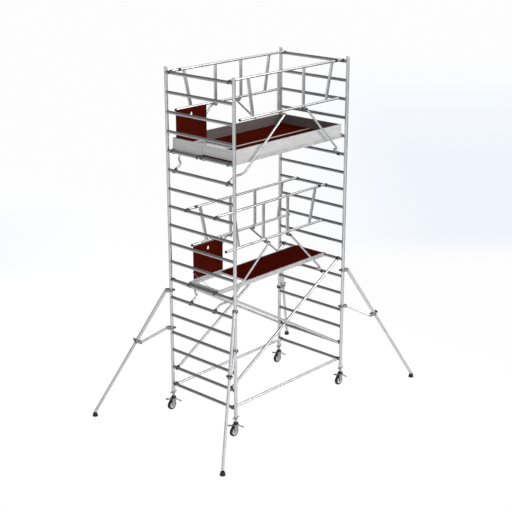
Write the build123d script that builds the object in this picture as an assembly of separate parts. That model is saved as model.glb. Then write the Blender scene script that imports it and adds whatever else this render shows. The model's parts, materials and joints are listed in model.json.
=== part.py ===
from build123d import *
import math
import os

os.makedirs("parts", exist_ok=True)

# Mobile tower scaffold: two ladder frames standing on screw jacks and castors, tied by
# braces, with three platform decks, folding guardrail units and four telescopic stabilisers.
# Millimetres.  +X runs along the platform, +Y across the tower to its far side, +Z up.
# The origin is on the ground, under the middle of the tower.

# ---------------------------------------------------------------- tube sections
UPRIGHT_OD = 50.0
UPRIGHT_WALL = 2.0
RUNG_OD = 46.0
RUNG_WALL = 2.0
BRACE_OD = 40.0
BRACE_WALL = 1.8
RAIL_OD = 36.0
RAIL_WALL = 1.8
# The tower repeats some hundred tubes, so each is drawn with plain flats round its wall:
# as many outside as keep it round, fewer inside where nothing is seen.
UPRIGHT_FLATS = 12
TUBE_FLATS = 12
BORE_FLATS = 8
RUNG_BORE_FLATS = 6

# ---------------------------------------------------------------- platform width
DECK_WIDTH = 596.0
DECK_APART = 4.0           # gap between the two upper decks
DECK_SIDE_ROOM = 57.0      # outer edges of the upper decks to the uprights' middle

# ---------------------------------------------------------------- ladder frames
BAY_LENGTH = 2424.0        # upright to upright along the platform
BAY_WIDTH = 2 * DECK_WIDTH + DECK_APART + 2 * DECK_SIDE_ROOM   # upright to upright across
RUNG_PITCH = 280.0
RUNGS_PER_FRAME = (4, 7, 7)
STACK_PITCH = (280.0, 264.0)   # last rung of one frame to the first rung of the next
FIRST_RUNG_HEIGHT = 420.0
UPRIGHT_BELOW_RUNG = 125.0     # lower end of the base uprights, under the first rung
UPRIGHT_ABOVE_RUNG = 72.0      # upper end of the top uprights, over the last rung
SOCKET_BELOW_RUNG = 140.0      # where one frame ends and the next is plugged on
SPIGOT_CLEAR = 0.3
SPIGOT_LENGTH = 130.0
FOOT_SLEEVE_OD = 57.0
FOOT_SLEEVE_LENGTH = 80.0
CAP_OD = 57.0
CAP_HEIGHT = 22.0
CAP_TOP = 6.0

# ---------------------------------------------------------------- claws
CLAW_THICK = 7.0           # wall of a claw over the rung
CLAW_SEAT = 0.3            # clearance between a claw and its rung
CLAW_DROP = 16.0           # how far a claw's tips reach below the rung's middle

# ---------------------------------------------------------------- braces
DIAGONAL_INNER_INSET = 100.0   # uprights' middle to the plane that each brace lies in
DIAGONAL_OUTER_INSET = 45.0
HORIZONTAL_INSET = 55.0
DIAGONAL_LOW_RUNG = 2
DIAGONAL_HIGH_RUNG = 7
HORIZONTAL_RUNG = 1
BRACE_CLAW_WIDTH = 36.0
BRACE_CLAW_NECK = 34.0     # rung middle to where the brace tube starts

# ---------------------------------------------------------------- decks
LOWER_DECK_RUNG = 7
UPPER_DECK_RUNG = 14
DECK_SPACING = DECK_WIDTH + DECK_APART   # middle of one upper deck to the middle of the other
DECK_RISE = 38.0           # deck top over the rung's middle
DECK_RUNG_GAP = 4.0        # deck ends to the rungs' inner sides
BEAM_HEIGHT = 60.0
BEAM_WIDTH = 20.0
BEAM_WALL = 2.5
BEAM_LEDGE = 24.0          # ledge that carries the board and the hatch
CROSS_HEIGHT = 30.0
CROSS_WIDTH = 40.0
CROSS_COUNT = 3
BOARD_THICK = 12.0
BOARD_GAP = 1.0
DECK_CLAW_WIDTH = 36.0
WIND_LOCK_WIDTH = 22.0
WIND_LOCK_THICK = 6.0

# ---------------------------------------------------------------- hatches
HATCH_LENGTH = 606.0
HATCH_MARGIN = 44.0        # end beam to the hatch opening
HATCH_HEIGHT = 533.0       # hinge pin to the free edge
HATCH_PIN_INSET = 41.0     # hinge pin to the deck's outer edge
HATCH_PIN_RISE = 7.0
HATCH_PIN_OD = 6.0
HATCH_BARREL_OD = 13.0
HATCH_BARREL_LENGTH = 60.0
HATCH_PIN_CLEAR = 0.3
HATCH_EAR = 5.0
HATCH_EAR_GAP = 1.0
HATCH_HEM = 8.0            # hinge pin to the panel's own edge
KEYHOLE_FROM_EDGE = 92.0
KEYHOLE_RADIUS = 24.0
KEYHOLE_TIP = 46.0
STAY_OD = 8.0
STAY_PIN_OD = 5.0
STAY_PIN_CLEAR = 0.3
STAY_UP_HATCH = 135.0      # hatch pin to the stay's pivot
STAY_LENGTH = 356.0
STAY_BESIDE = 7.0          # hatch edge to the stay's middle
STAY_REST = 0.3            # stay's end over the beam it stands on
STAY_LUG = 14.0

# ---------------------------------------------------------------- toe boards
TOE_HEIGHT = 148.0
TOE_THICK = 20.0
TOE_SKIN_GAP = 0.3
TOE_END_INSET = 22.0       # deck end to the outer face of an end board
TOE_RIB_COUNT = 3
TOE_RIB_DEPTH = 3.0
TOE_RIB_HEIGHT = 6.0

# ---------------------------------------------------------------- guardrail units
GUARD_RUNGS = (11, 18)     # rungs that carry the lower and the upper units
GUARD_INSET_LOWER = 10.0   # lower deck's edge to the plane of the lower rails
GUARD_INSET_UPPER = 85.0   # uprights' middle to the plane of the upper rails
GUARD_OFFSET_LOWER = DECK_WIDTH / 2 - GUARD_INSET_LOWER
GUARD_OFFSET_UPPER = BAY_WIDTH / 2 - GUARD_INSET_UPPER
GUARD_RAIL_RISE = 22.0     # rail middle over the rung's middle
GUARD_RAIL_GAP = 560.0     # top rail to mid rail
GUARD_RAIL_END = 34.0      # claw middle to the end of the top rail's tube
MID_RAIL_LEFT = 1130.0
MID_RAIL_RIGHT = 1020.0
POST_WIDTH = 60.0
POST_DEPTH = 20.0
POST_WALL = 2.0
POSTS = ((-950.0, -820.0), (-315.0, -315.0), (220.0, 220.0), (845.0, 750.0))
SLEEVE_OD = 43.0
SLEEVE_LENGTH = 60.0
SLEEVE_LEFT = 1035.0
PLUG_LENGTH = 18.0
LEG_PIVOT_LEFT = 310.0
LEG_PIVOT_RIGHT = 182.0
LEG_PIVOT_DROP = 42.0
LEG_PIVOT_OUT = 76.0
LEG_PIVOT_GAP = 0.3
LEG_OD = 32.0
LEG_KNEE_X = 1015.0        # where the leg starts to step in under the deck
LEG_ANKLE_X = 1072.0       # where it has stepped in
LEG_KNEE_RISE = 129.0      # knee over the lower rung's middle
LEG_ANKLE_RISE = 84.0
LEG_CLAW_INBOARD = 45.0    # leg claw inside the rail's plane
LEG_CLAW_NECK = 40.0
LEG_CLAW_SEAT = 0.5
LEG_RUNG_DROP = 5          # rungs between the unit's upper and lower claws
GUARD_CLAW_WIDTH = 40.0

# ---------------------------------------------------------------- screw jacks and castors
SPINDLE_OD = 38.0
SPINDLE_WALL = 4.0
SPINDLE_LENGTH = 540.0
NUT_OD = 62.0
NUT_HEIGHT = 34.0
NUT_CLEAR = 0.3
NUT_WING_SPAN = 130.0
NUT_WING_THICK = 10.0
NUT_WING_HEIGHT = 26.0
WHEEL_OD = 150.0
TYRE_WIDTH = 45.0
TYRE_SECTION = 26.0
TYRE_BEVEL = 6.0
WHEEL_FLATS = 16
HUB_FLATS = 12
HUB_WIDTH = 52.0
HUB_BOSS_OD = 40.0
AXLE_OD = 12.0
AXLE_CLEAR = 0.3
TRAIL = 40.0
HOUSING_TOP = 212.0
HOUSING_HEIGHT = 34.0
CROWN_THICK = 4.0
HOUSING_OD = 76.0
FORK_GAP = 60.0
FORK_PLATE = 5.0
FORK_TIP_WIDTH = 34.0
ROCKER_PIVOT_X = -8.0
ROCKER_PIVOT_Z = 161.0
ROCKER_PIN_OD = 7.0
ROCKER_PIN_CLEAR = 0.3
ROCKER_WIDTH = 34.0
ROCKER_THICK = 10.0
ROCKER_LEFT = (-156.0, 212.0)    # tip of the raised end, and of the lowered end
ROCKER_RIGHT = (152.0, 72.0)

# ---------------------------------------------------------------- stabilisers
STAB_REACH_X = 985.0       # upright to foot along the platform
STAB_REACH_Y = 685.0       # upright to foot across
STAB_UPPER_CLAMP = 1930.0
STAB_LOWER_CLAMP = 1330.0
STAB_STANDOFF = 75.0       # upright's middle to the leg's pivot
STAB_SLIDER = 0.42         # share of the leg's length down to the telescopic joint
STAB_OD = 50.0
STAB_WALL = 2.0
STAB_INNER_OD = 43.8
STAB_INNER_HIDDEN = 260.0  # inner tube still inside the outer one
STAB_ARM_OD = 40.0
STAB_FOOT_OD = 86.0
STAB_FOOT_TOP_OD = 60.0
STAB_FOOT_HEIGHT = 62.0
CLAMP_HEIGHT = 50.0
CLAMP_THICK = 9.0
CLAMP_CLEAR = 0.3
EAR_THICK = 6.0
EAR_REACH = 16.0
EAR_ROOT = 12.0            # upright's middle to where an ear leaves the clamp's ring
STAB_HEAD_STUB = 8.0       # how far a tube reaches past its pivot, towards the upright
STAB_ELBOW = 28.0          # telescopic joint up to the middle of the arm's coupler
STAB_SHOE_GAP = 6.0


# ---------------------------------------------------------------- heights that follow
def rung_height(number):
    """Height of the middle of a rung, counted from the ground."""
    steps = number - 1
    height = FIRST_RUNG_HEIGHT
    for count, pitch in zip(RUNGS_PER_FRAME, STACK_PITCH):
        inside = min(steps, count - 1)
        height += inside * RUNG_PITCH
        steps -= inside
        if steps <= 0:
            return height
        height += pitch
        steps -= 1
    return height + steps * RUNG_PITCH


HALF_LENGTH = BAY_LENGTH / 2
HALF_WIDTH = BAY_WIDTH / 2
UPRIGHT_FOOT = FIRST_RUNG_HEIGHT - UPRIGHT_BELOW_RUNG
TOP_RUNG = sum(RUNGS_PER_FRAME)
FIRST_OF_FRAME = (1, 1 + RUNGS_PER_FRAME[0], 1 + RUNGS_PER_FRAME[0] + RUNGS_PER_FRAME[1])


# ---------------------------------------------------------------- forms used throughout
def flats(across, count):
    """Regular outline with a flat facing each way, measured across its flats."""
    return RegularPolygon(across / 2, count, major_radius=False, rotation=180 / count)


def along(start, end):
    """Plane at start whose normal points to end, with its X axis kept as level as it can be."""
    way = Vector(*end) - Vector(*start)
    side = Vector(0, 0, 1).cross(way)
    if side.length < 1e-6 * way.length:
        side = Vector(1, 0, 0)
    return Plane(origin=start, x_dir=side, z_dir=way)


def bar(start, end, across, wall=0.0, count=TUBE_FLATS, bore_count=BORE_FLATS):
    """Straight tube from start to end, or a bar where no wall is given."""
    length = (Vector(*end) - Vector(*start)).length
    section = flats(across, count)
    if wall:
        section -= flats(across - 2 * wall, bore_count)
    return along(start, end) * extrude(section, length)


def box_between(low, high):
    """Plain block between two corners."""
    size = [h - l for l, h in zip(low, high)]
    middle = [(h + l) / 2 for l, h in zip(low, high)]
    return Pos(*middle) * Box(*size)


def keep(shape):
    """The solids of a shape as a list."""
    return list(shape.solids())


def mirror_x(shape):
    return shape.mirror(Plane.YZ)


def mirror_y(shape):
    return shape.mirror(Plane.XZ)


def turned(shape, turns=2):
    """The shape turned by quarter turns about the tower's middle."""
    return Rot(0, 0, 90 * turns) * shape


WRITTEN = []


def write(name, *solids):
    """One file for one named piece, or for a group of like pieces."""
    flat = []
    for one in solids:
        flat.extend(keep(one))
    export_step(Compound(children=flat) if len(flat) > 1 else flat[0], f"parts/{name}.step")
    WRITTEN.append(name)


# ---------------------------------------------------------------- ladder frames
def rung_saddle(x, y, z):
    """The room an upright takes from a rung's end."""
    cut = extrude(flats(UPRIGHT_OD, UPRIGHT_FLATS), RUNG_OD, both=True)
    return Pos(x, y, z) * cut


def rung(x, z):
    """Rung tube, cut at both ends to sit round the uprights."""
    body = bar((x, -HALF_WIDTH, z), (x, HALF_WIDTH, z), RUNG_OD, RUNG_WALL,
               TUBE_FLATS, RUNG_BORE_FLATS)
    for side in (-1, 1):
        body -= rung_saddle(x, side * HALF_WIDTH, z)
    return body.solids().sort_by(SortBy.VOLUME)[-1]


def frame_span(level):
    """Bottom and top height of the uprights of one frame."""
    first = rung_height(FIRST_OF_FRAME[level])
    last = rung_height(FIRST_OF_FRAME[level] + RUNGS_PER_FRAME[level] - 1)
    bottom = UPRIGHT_FOOT if level == 0 else first - SOCKET_BELOW_RUNG
    if level == len(RUNGS_PER_FRAME) - 1:
        return bottom, last + UPRIGHT_ABOVE_RUNG
    nxt = rung_height(FIRST_OF_FRAME[level + 1])
    return bottom, nxt - SOCKET_BELOW_RUNG


def spigot(x, y, z):
    """Stub that joins two uprights: half of it in the lower tube, half in the upper one."""
    across = UPRIGHT_OD - 2 * UPRIGHT_WALL - 2 * SPIGOT_CLEAR
    return bar((x, y, z - SPIGOT_LENGTH / 2), (x, y, z + SPIGOT_LENGTH / 2), across, 0, BORE_FLATS)


def frame(x, level):
    """One ladder frame: two uprights and its rungs, each a tube of its own."""
    bottom, top = frame_span(level)
    pieces = []
    for side in (-1, 1):
        pieces.append(
            bar((x, side * HALF_WIDTH, bottom), (x, side * HALF_WIDTH, top),
                UPRIGHT_OD, UPRIGHT_WALL, UPRIGHT_FLATS)
        )
    for k in range(RUNGS_PER_FRAME[level]):
        pieces.append(rung(x, rung_height(FIRST_OF_FRAME[level] + k)))
    return pieces


def foot_sleeve(x, y, z):
    """Sleeve round the foot of a base upright."""
    ring = flats(FOOT_SLEEVE_OD, UPRIGHT_FLATS) - flats(UPRIGHT_OD, UPRIGHT_FLATS)
    return Pos(x, y, z) * extrude(ring, FOOT_SLEEVE_LENGTH)


def top_cap(x, y, z):
    """Cup-shaped cap over the open end of a top upright."""
    cup = bar((x, y, z + CAP_TOP - CAP_HEIGHT), (x, y, z + CAP_TOP), CAP_OD, 0, UPRIGHT_FLATS)
    return cup - bar((x, y, z - CAP_HEIGHT), (x, y, z), UPRIGHT_OD, 0, UPRIGHT_FLATS)


for side_name, sx in (("left", -1), ("right", 1)):
    for level, level_name in enumerate(("base", "middle", "top")):
        pieces = frame(sx * HALF_LENGTH, level)
        if level == 0:
            for sy in (-1, 1):
                pieces.append(foot_sleeve(sx * HALF_LENGTH, sy * HALF_WIDTH, UPRIGHT_FOOT))
        for sy in (-1, 1):
            head = (sx * HALF_LENGTH, sy * HALF_WIDTH, frame_span(level)[1])
            last = level == len(RUNGS_PER_FRAME) - 1
            pieces.append(top_cap(*head) if last else spigot(*head))
        write(f"frame_{side_name}_{level_name}", *pieces)


# ---------------------------------------------------------------- claws
RUNG_CORNER = RUNG_OD / 2 / math.cos(math.pi / TUBE_FLATS)


def claw_profile(neck, half, slant):
    """Outline of a claw, in a plane square to the rung, with its mouth down and its neck
    towards +X: a hook with three flats, half its mouth wide on each side of the rung's middle.
    The neck's end leans by slant, its run along X over its rise."""
    reach = RUNG_CORNER + CLAW_SEAT
    corner = reach * math.sqrt(2) - half
    out = half + CLAW_THICK
    outer_corner = corner + CLAW_THICK * 0.4
    return Polyline(
        (-out, -CLAW_DROP), (-half, -CLAW_DROP), (-half, corner), (-corner, half), (corner, half),
        (half, corner), (half, -CLAW_DROP), (neck - slant * CLAW_DROP, -CLAW_DROP),
        (neck + slant * outer_corner, outer_corner),
        (outer_corner, out), (-outer_corner, out), (-out, outer_corner), close=True,
    )


def claw(width, neck, half=RUNG_OD / 2 + CLAW_SEAT, slant=0.0):
    """Claw round a rung that lies along Y through the origin."""
    return extrude(Plane.XZ * make_face(claw_profile(neck, half, slant)), width / 2, both=True)


# ---------------------------------------------------------------- braces
def brace(low, high, y):
    """A brace between two rungs given as (x, z): its tube and a claw at each end."""
    run = Vector(high[0] - low[0], 0, high[1] - low[1])
    lean = math.degrees(math.atan2(abs(run.Z), abs(run.X)))
    step = run.normalized() * BRACE_CLAW_NECK
    start = (low[0] + step.X, y, low[1] + step.Z)
    end = (high[0] - step.X, y, high[1] - step.Z)
    tube = bar(start, end, BRACE_OD, BRACE_WALL)
    hook = claw(BRACE_CLAW_WIDTH, BRACE_CLAW_NECK)
    sign = 1 if run.X > 0 else -1
    first = Rot(0, -lean, 0) * hook
    second = Rot(0, -lean, 0) * mirror_x(hook)
    if sign < 0:
        first, second = mirror_x(first), mirror_x(second)
    claws = [Pos(low[0], y, low[1]) * first, Pos(high[0], y, high[1]) * second]
    return tube, claws


def braces(side):
    """The two diagonals and the horizontal of one long side."""
    low = rung_height(DIAGONAL_LOW_RUNG)
    high = rung_height(DIAGONAL_HIGH_RUNG)
    base = rung_height(HORIZONTAL_RUNG)
    runs = (
        ((-HALF_LENGTH, low), (HALF_LENGTH, high), HALF_WIDTH - DIAGONAL_INNER_INSET),
        ((HALF_LENGTH, low), (-HALF_LENGTH, high), HALF_WIDTH - DIAGONAL_OUTER_INSET),
        ((-HALF_LENGTH, base), (HALF_LENGTH, base), HALF_WIDTH - HORIZONTAL_INSET),
    )
    tubes, claws = [], []
    for a, b, y in runs:
        tube, ends = brace(a, b, side * y)
        tubes.append(tube)
        claws.extend(ends)
    return tubes, claws


near_tubes, near_claws = braces(-1)
far_tubes, far_claws = braces(1)
write("braces_near", *near_tubes)
write("braces_far", *far_tubes)
write("brace_claws", *near_claws, *far_claws)


# ---------------------------------------------------------------- decks
DECK_HALF = HALF_LENGTH - RUNG_OD / 2 - DECK_RUNG_GAP
LEDGE_DROP = BOARD_THICK + BOARD_GAP


def beam_profile():
    """Side beam of a deck, seen along X with the deck to its left: box, ledge and lip."""
    outer = Polyline(
        (0, 0), (BEAM_WIDTH, 0), (BEAM_WIDTH, -BEAM_HEIGHT), (0, -BEAM_HEIGHT),
        (0, -LEDGE_DROP - BEAM_WALL), (-BEAM_LEDGE, -LEDGE_DROP - BEAM_WALL),
        (-BEAM_LEDGE, -LEDGE_DROP), (0, -LEDGE_DROP), close=True,
    )
    wall = BEAM_WALL
    bore = Pos(BEAM_WIDTH / 2, -BEAM_HEIGHT / 2) * Rectangle(
        BEAM_WIDTH - 2 * wall, BEAM_HEIGHT - 2 * wall
    )
    return make_face(outer) - bore


def deck_beam(has_hatch):
    """Side beam on the +Y side of a deck whose top middle is the origin.  Its ledge stops
    where a flush end tube stands beside the hatch."""
    inner = DECK_WIDTH / 2 - BEAM_WIDTH
    plane = Plane(origin=(-DECK_HALF, inner, 0), x_dir=(0, 1, 0), z_dir=(1, 0, 0))
    beam = extrude(plane * beam_profile(), 2 * DECK_HALF)
    if has_hatch:
        beam -= box_between(
            (-DECK_HALF - 1, inner - BEAM_LEDGE - 1, -BEAM_HEIGHT),
            (hatch_edges()[0], inner, 0),
        )
    return beam


def hatch_edges():
    """X of the two edges of a hatch opening."""
    low = -DECK_HALF + HATCH_MARGIN
    return low, low + HATCH_LENGTH


def cross_tube(x, width, top, bottom):
    """Cross tube of a deck, from one side beam to the other."""
    inner = DECK_WIDTH / 2 - BEAM_WIDTH
    section = Rectangle(width, top - bottom)
    section -= Rectangle(width - 2 * BEAM_WALL, top - bottom - 2 * BEAM_WALL)
    plane = Plane(origin=(x, -inner, (top + bottom) / 2), x_dir=(1, 0, 0), z_dir=(0, 1, 0))
    return extrude(plane * section, 2 * inner)


def cross_members(has_hatch):
    """Cross tubes under the board; beside a hatch the end tube comes up flush."""
    under = -LEDGE_DROP - BEAM_WALL
    low = under - CROSS_HEIGHT
    tubes = [cross_tube(DECK_HALF - CROSS_WIDTH / 2, CROSS_WIDTH, under, low)]
    if has_hatch:
        start = hatch_edges()[1]
        tubes.append(cross_tube(-DECK_HALF + HATCH_MARGIN / 2, HATCH_MARGIN, 0, low))
        tubes.append(cross_tube(start + CROSS_WIDTH / 2, CROSS_WIDTH, under, low))
    else:
        start = -DECK_HALF
        tubes.append(cross_tube(start + CROSS_WIDTH / 2, CROSS_WIDTH, under, low))
    step = (DECK_HALF - start) / (CROSS_COUNT + 1)
    for k in range(CROSS_COUNT):
        tubes.append(cross_tube(start + step * (k + 1), CROSS_WIDTH, under, low))
    return tubes


def deck_board(has_hatch):
    """Board on the ledges, with its edges clear of the beams."""
    inner = DECK_WIDTH / 2 - BEAM_WIDTH - BOARD_GAP
    low = hatch_edges()[1] + BOARD_GAP if has_hatch else -DECK_HALF
    return box_between((low, -inner, -LEDGE_DROP), (DECK_HALF, inner, -BOARD_GAP))


def deck_claws(rung_z):
    """Claw at each corner, hooked over the rung and held inside the side beam's line."""
    neck = HALF_LENGTH - DECK_HALF
    hook = claw(DECK_CLAW_WIDTH, neck)
    y = DECK_WIDTH / 2 - BEAM_WIDTH - DECK_CLAW_WIDTH / 2
    out = []
    for sx in (-1, 1):
        for sy in (-1, 1):
            shape = hook if sx < 0 else mirror_x(hook)
            out.append(Pos(sx * HALF_LENGTH, sy * y, rung_z) * shape)
    return out


def wind_locks(rung_z):
    """Flat latch beside each claw that closes under the rung."""
    y = DECK_WIDTH / 2 - BEAM_WIDTH - DECK_CLAW_WIDTH - WIND_LOCK_WIDTH / 2
    r = RUNG_OD / 2 + CLAW_SEAT
    neck = HALF_LENGTH - DECK_HALF
    outline = Polyline(
        (neck, -r - WIND_LOCK_THICK), (neck, r * 0.6), (r, r * 0.6), (r, -r * 0.5),
        (r * 0.5, -r), (-r * 0.6, -r), (-r * 0.6, -r - WIND_LOCK_THICK), close=True,
    )
    latch = extrude(Plane.XZ * make_face(outline), WIND_LOCK_WIDTH / 2, both=True)
    out = []
    for sx in (-1, 1):
        for sy in (-1, 1):
            shape = latch if sx < 0 else mirror_x(latch)
            out.append(Pos(sx * HALF_LENGTH, sy * y, rung_z) * shape)
    return out


def place_all(shapes, x, y, z):
    return [Pos(x, y, z) * s for s in shapes]


LOWER_DECK_TOP = rung_height(LOWER_DECK_RUNG) + DECK_RISE
UPPER_DECK_TOP = rung_height(UPPER_DECK_RUNG) + DECK_RISE
HATCH_PIN_Y = DECK_WIDTH / 2 - HATCH_PIN_INSET


def hinge_lugs():
    """Ears on the inside of the far beam, with the pins that carry the hatch's barrels."""
    beam = DECK_WIDTH / 2 - BEAM_WIDTH
    reach = HATCH_BARREL_LENGTH / 2 + HATCH_EAR_GAP
    out = []
    for x in hinge_spots():
        solid = bar((x - reach - HATCH_EAR, HATCH_PIN_Y, HATCH_PIN_RISE),
                    (x + reach + HATCH_EAR, HATCH_PIN_Y, HATCH_PIN_RISE), HATCH_PIN_OD, 0, BORE_FLATS)
        for s in (-1, 1):
            a, b = sorted((x + s * reach, x + s * (reach + HATCH_EAR)))
            solid = solid + box_between(
                (a, HATCH_PIN_Y - HATCH_PIN_OD, -LEDGE_DROP),
                (b, beam, HATCH_PIN_RISE + HATCH_PIN_OD),
            )
        out.append(solid)
    return out


def hinge_spots():
    low, high = hatch_edges()
    inset = 90.0
    return (low + inset, high - inset)


def hatch(has_stay):
    """Hatch panel standing open on its hinge, which runs along X through the origin."""
    low, high = hatch_edges()
    gap = BOARD_GAP + 1
    panel = box_between(
        (low + gap, -HATCH_PIN_RISE - BOARD_THICK, HATCH_HEM),
        (high - gap, -HATCH_PIN_RISE, HATCH_HEIGHT),
    )
    middle = (low + high) / 2
    hole = make_face(
        Polyline(
            *[
                (KEYHOLE_RADIUS * math.cos(math.radians(a)), KEYHOLE_RADIUS * math.sin(math.radians(a)))
                for a in range(-210, 31, 30)
            ],
            (0, KEYHOLE_TIP), close=True,
        )
    )
    plane = Plane(origin=(middle, 0, HATCH_HEIGHT - KEYHOLE_FROM_EDGE), x_dir=(1, 0, 0),
                  z_dir=(0, -1, 0))
    panel -= extrude(plane * hole, 3 * (HATCH_PIN_RISE + BOARD_THICK), both=True)
    solid = panel
    for x in hinge_spots():
        half = HATCH_BARREL_LENGTH / 2
        barrel = bar((x - half, 0, 0), (x + half, 0, 0), HATCH_BARREL_OD, 0, BORE_FLATS)
        leaf = box_between((x - half, -HATCH_PIN_RISE - 1, -1), (x + half, -2.0, 36.0))
        solid = solid + barrel + leaf
        solid -= bar((x - half - 1, 0, 0), (x + half + 1, 0, 0),
                     HATCH_PIN_OD / math.cos(math.pi / BORE_FLATS) + 2 * HATCH_PIN_CLEAR,
                     0, BORE_FLATS)
    if has_stay:
        a = low + gap
        lug = box_between((a, -HATCH_PIN_RISE, STAY_UP_HATCH - STAY_LUG / 2),
                          (a + 5, STAY_SET + STAY_LUG / 2, STAY_UP_HATCH + STAY_LUG / 2))
        bore = STAY_PIN_OD / math.cos(math.pi / BORE_FLATS) + 2 * STAY_PIN_CLEAR
        lug -= bar((a - 1, STAY_SET, STAY_UP_HATCH), (a + 9, STAY_SET, STAY_UP_HATCH), bore,
                   0, BORE_FLATS)
        solid = solid + lug
    return solid


# The stay's pivot lies this far outside the hatch pin's plane, so that the stay lies on the
# end tube when the hatch is shut.
STAY_SET = STAY_OD / 2 + STAY_REST - HATCH_PIN_RISE
STAY_DROP = math.asin((HATCH_PIN_RISE + STAY_UP_HATCH - STAY_OD / 2 - STAY_REST) / STAY_LENGTH)


def hatch_stay():
    """Stay rod beside the open hatch, down to the end tube, with its pin through the lug."""
    x = hatch_edges()[0] + BOARD_GAP + 1 - STAY_BESIDE
    run = Vector(0, -STAY_LENGTH * math.cos(STAY_DROP), -STAY_LENGTH * math.sin(STAY_DROP))
    top = Vector(x, STAY_SET, STAY_UP_HATCH)
    rod = bar(top - run.normalized() * STAY_OD / 2, top + run, STAY_OD, 0, BORE_FLATS)
    pin = bar(top, top + Vector(STAY_BESIDE + 8, 0, 0), STAY_PIN_OD, 0, BORE_FLATS)
    return rod + pin


def write_deck(name, y, top, has_hatch):
    rung_z = -DECK_RISE
    beams = [deck_beam(has_hatch), mirror_y(deck_beam(has_hatch))]
    frame_parts = beams + cross_members(has_hatch) + deck_claws(rung_z)
    if has_hatch:
        frame_parts += hinge_lugs()
    write(f"{name}_frame", *place_all(frame_parts, 0, y, top))
    write(f"{name}_board", Pos(0, y, top) * deck_board(has_hatch))
    return place_all(wind_locks(rung_z), 0, y, top)


locks = write_deck("lower_deck", 0, LOWER_DECK_TOP, True)
locks += write_deck("upper_near_deck", -DECK_SPACING / 2, UPPER_DECK_TOP, False)
locks += write_deck("upper_far_deck", DECK_SPACING / 2, UPPER_DECK_TOP, True)
write("deck_wind_locks", *locks)
write("lower_hatch", Pos(0, HATCH_PIN_Y, LOWER_DECK_TOP + HATCH_PIN_RISE) * hatch(True))
write("lower_hatch_stay", Pos(0, HATCH_PIN_Y, LOWER_DECK_TOP + HATCH_PIN_RISE) * hatch_stay())
write(
    "upper_hatch",
    Pos(0, DECK_SPACING / 2 + HATCH_PIN_Y, UPPER_DECK_TOP + HATCH_PIN_RISE) * hatch(False),
)


# ---------------------------------------------------------------- toe boards
TOE_OUTER_Y = DECK_SPACING / 2 + DECK_WIDTH / 2
TOE_OUTER_X = DECK_HALF - TOE_END_INSET


def toe_profile():
    """Section of a toe board: a plank with shallow grooves along its outer face."""
    face = Pos(-TOE_THICK / 2, TOE_HEIGHT / 2) * Rectangle(TOE_THICK, TOE_HEIGHT)
    step = TOE_HEIGHT / (TOE_RIB_COUNT + 1)
    for k in range(TOE_RIB_COUNT):
        groove = Rectangle(2 * TOE_RIB_DEPTH, TOE_RIB_HEIGHT)
        face -= Pos(0, step * (k + 1)) * groove
    return face


def long_toe_board():
    """Toe board along the far side, its outer face in line with the deck's edge."""
    half = TOE_OUTER_X - TOE_THICK - TOE_SKIN_GAP
    plane = Plane(origin=(-half, TOE_OUTER_Y, UPPER_DECK_TOP), x_dir=(0, 1, 0),
                  z_dir=(1, 0, 0))
    return extrude(plane * toe_profile(), 2 * half)


def end_toe_board():
    """End board over the far half of the right end, one for each deck."""
    plane = Plane(origin=(TOE_OUTER_X, TOE_OUTER_Y, UPPER_DECK_TOP), x_dir=(1, 0, 0),
                  z_dir=(0, -1, 0))
    return extrude(plane * toe_profile(), TOE_OUTER_Y - TOE_SKIN_GAP)


far_toe = long_toe_board()
write("toe_boards_long", far_toe, mirror_y(far_toe))
end_toe = end_toe_board()
write("toe_boards_end", end_toe, mirror_x(end_toe), mirror_y(end_toe), mirror_x(mirror_y(end_toe)))


# ---------------------------------------------------------------- guardrail units
def guard_rails(offset, top):
    """Rails and posts of a far-side unit: rail plane at y = offset, top rail at height top."""
    mid = top - GUARD_RAIL_GAP
    end = HALF_LENGTH - GUARD_RAIL_END
    pieces = [
        bar((-end, offset, top), (end, offset, top), RAIL_OD, RAIL_WALL),
        bar((-MID_RAIL_LEFT + PLUG_LENGTH, offset, mid), (MID_RAIL_RIGHT - PLUG_LENGTH, offset, mid),
            RAIL_OD, RAIL_WALL),
    ]
    for top_x, low_x in POSTS:
        run = Vector(low_x - top_x, 0, -GUARD_RAIL_GAP)
        section = Rectangle(POST_WIDTH, POST_DEPTH)
        section -= Rectangle(POST_WIDTH - 2 * POST_WALL, POST_DEPTH - 2 * POST_WALL)
        plane = Plane(origin=(top_x, offset, top), x_dir=Vector(0, 1, 0).cross(run), z_dir=run)
        post = extrude(plane * section, run.length)
        for z in (top, mid):
            room = box_between((-HALF_LENGTH, offset - RAIL_OD, z - RAIL_OD / 2),
                               (HALF_LENGTH, offset + RAIL_OD, z + RAIL_OD / 2))
            post -= room
        pieces.append(post.solids().sort_by(SortBy.VOLUME)[-1])
    return pieces


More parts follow.
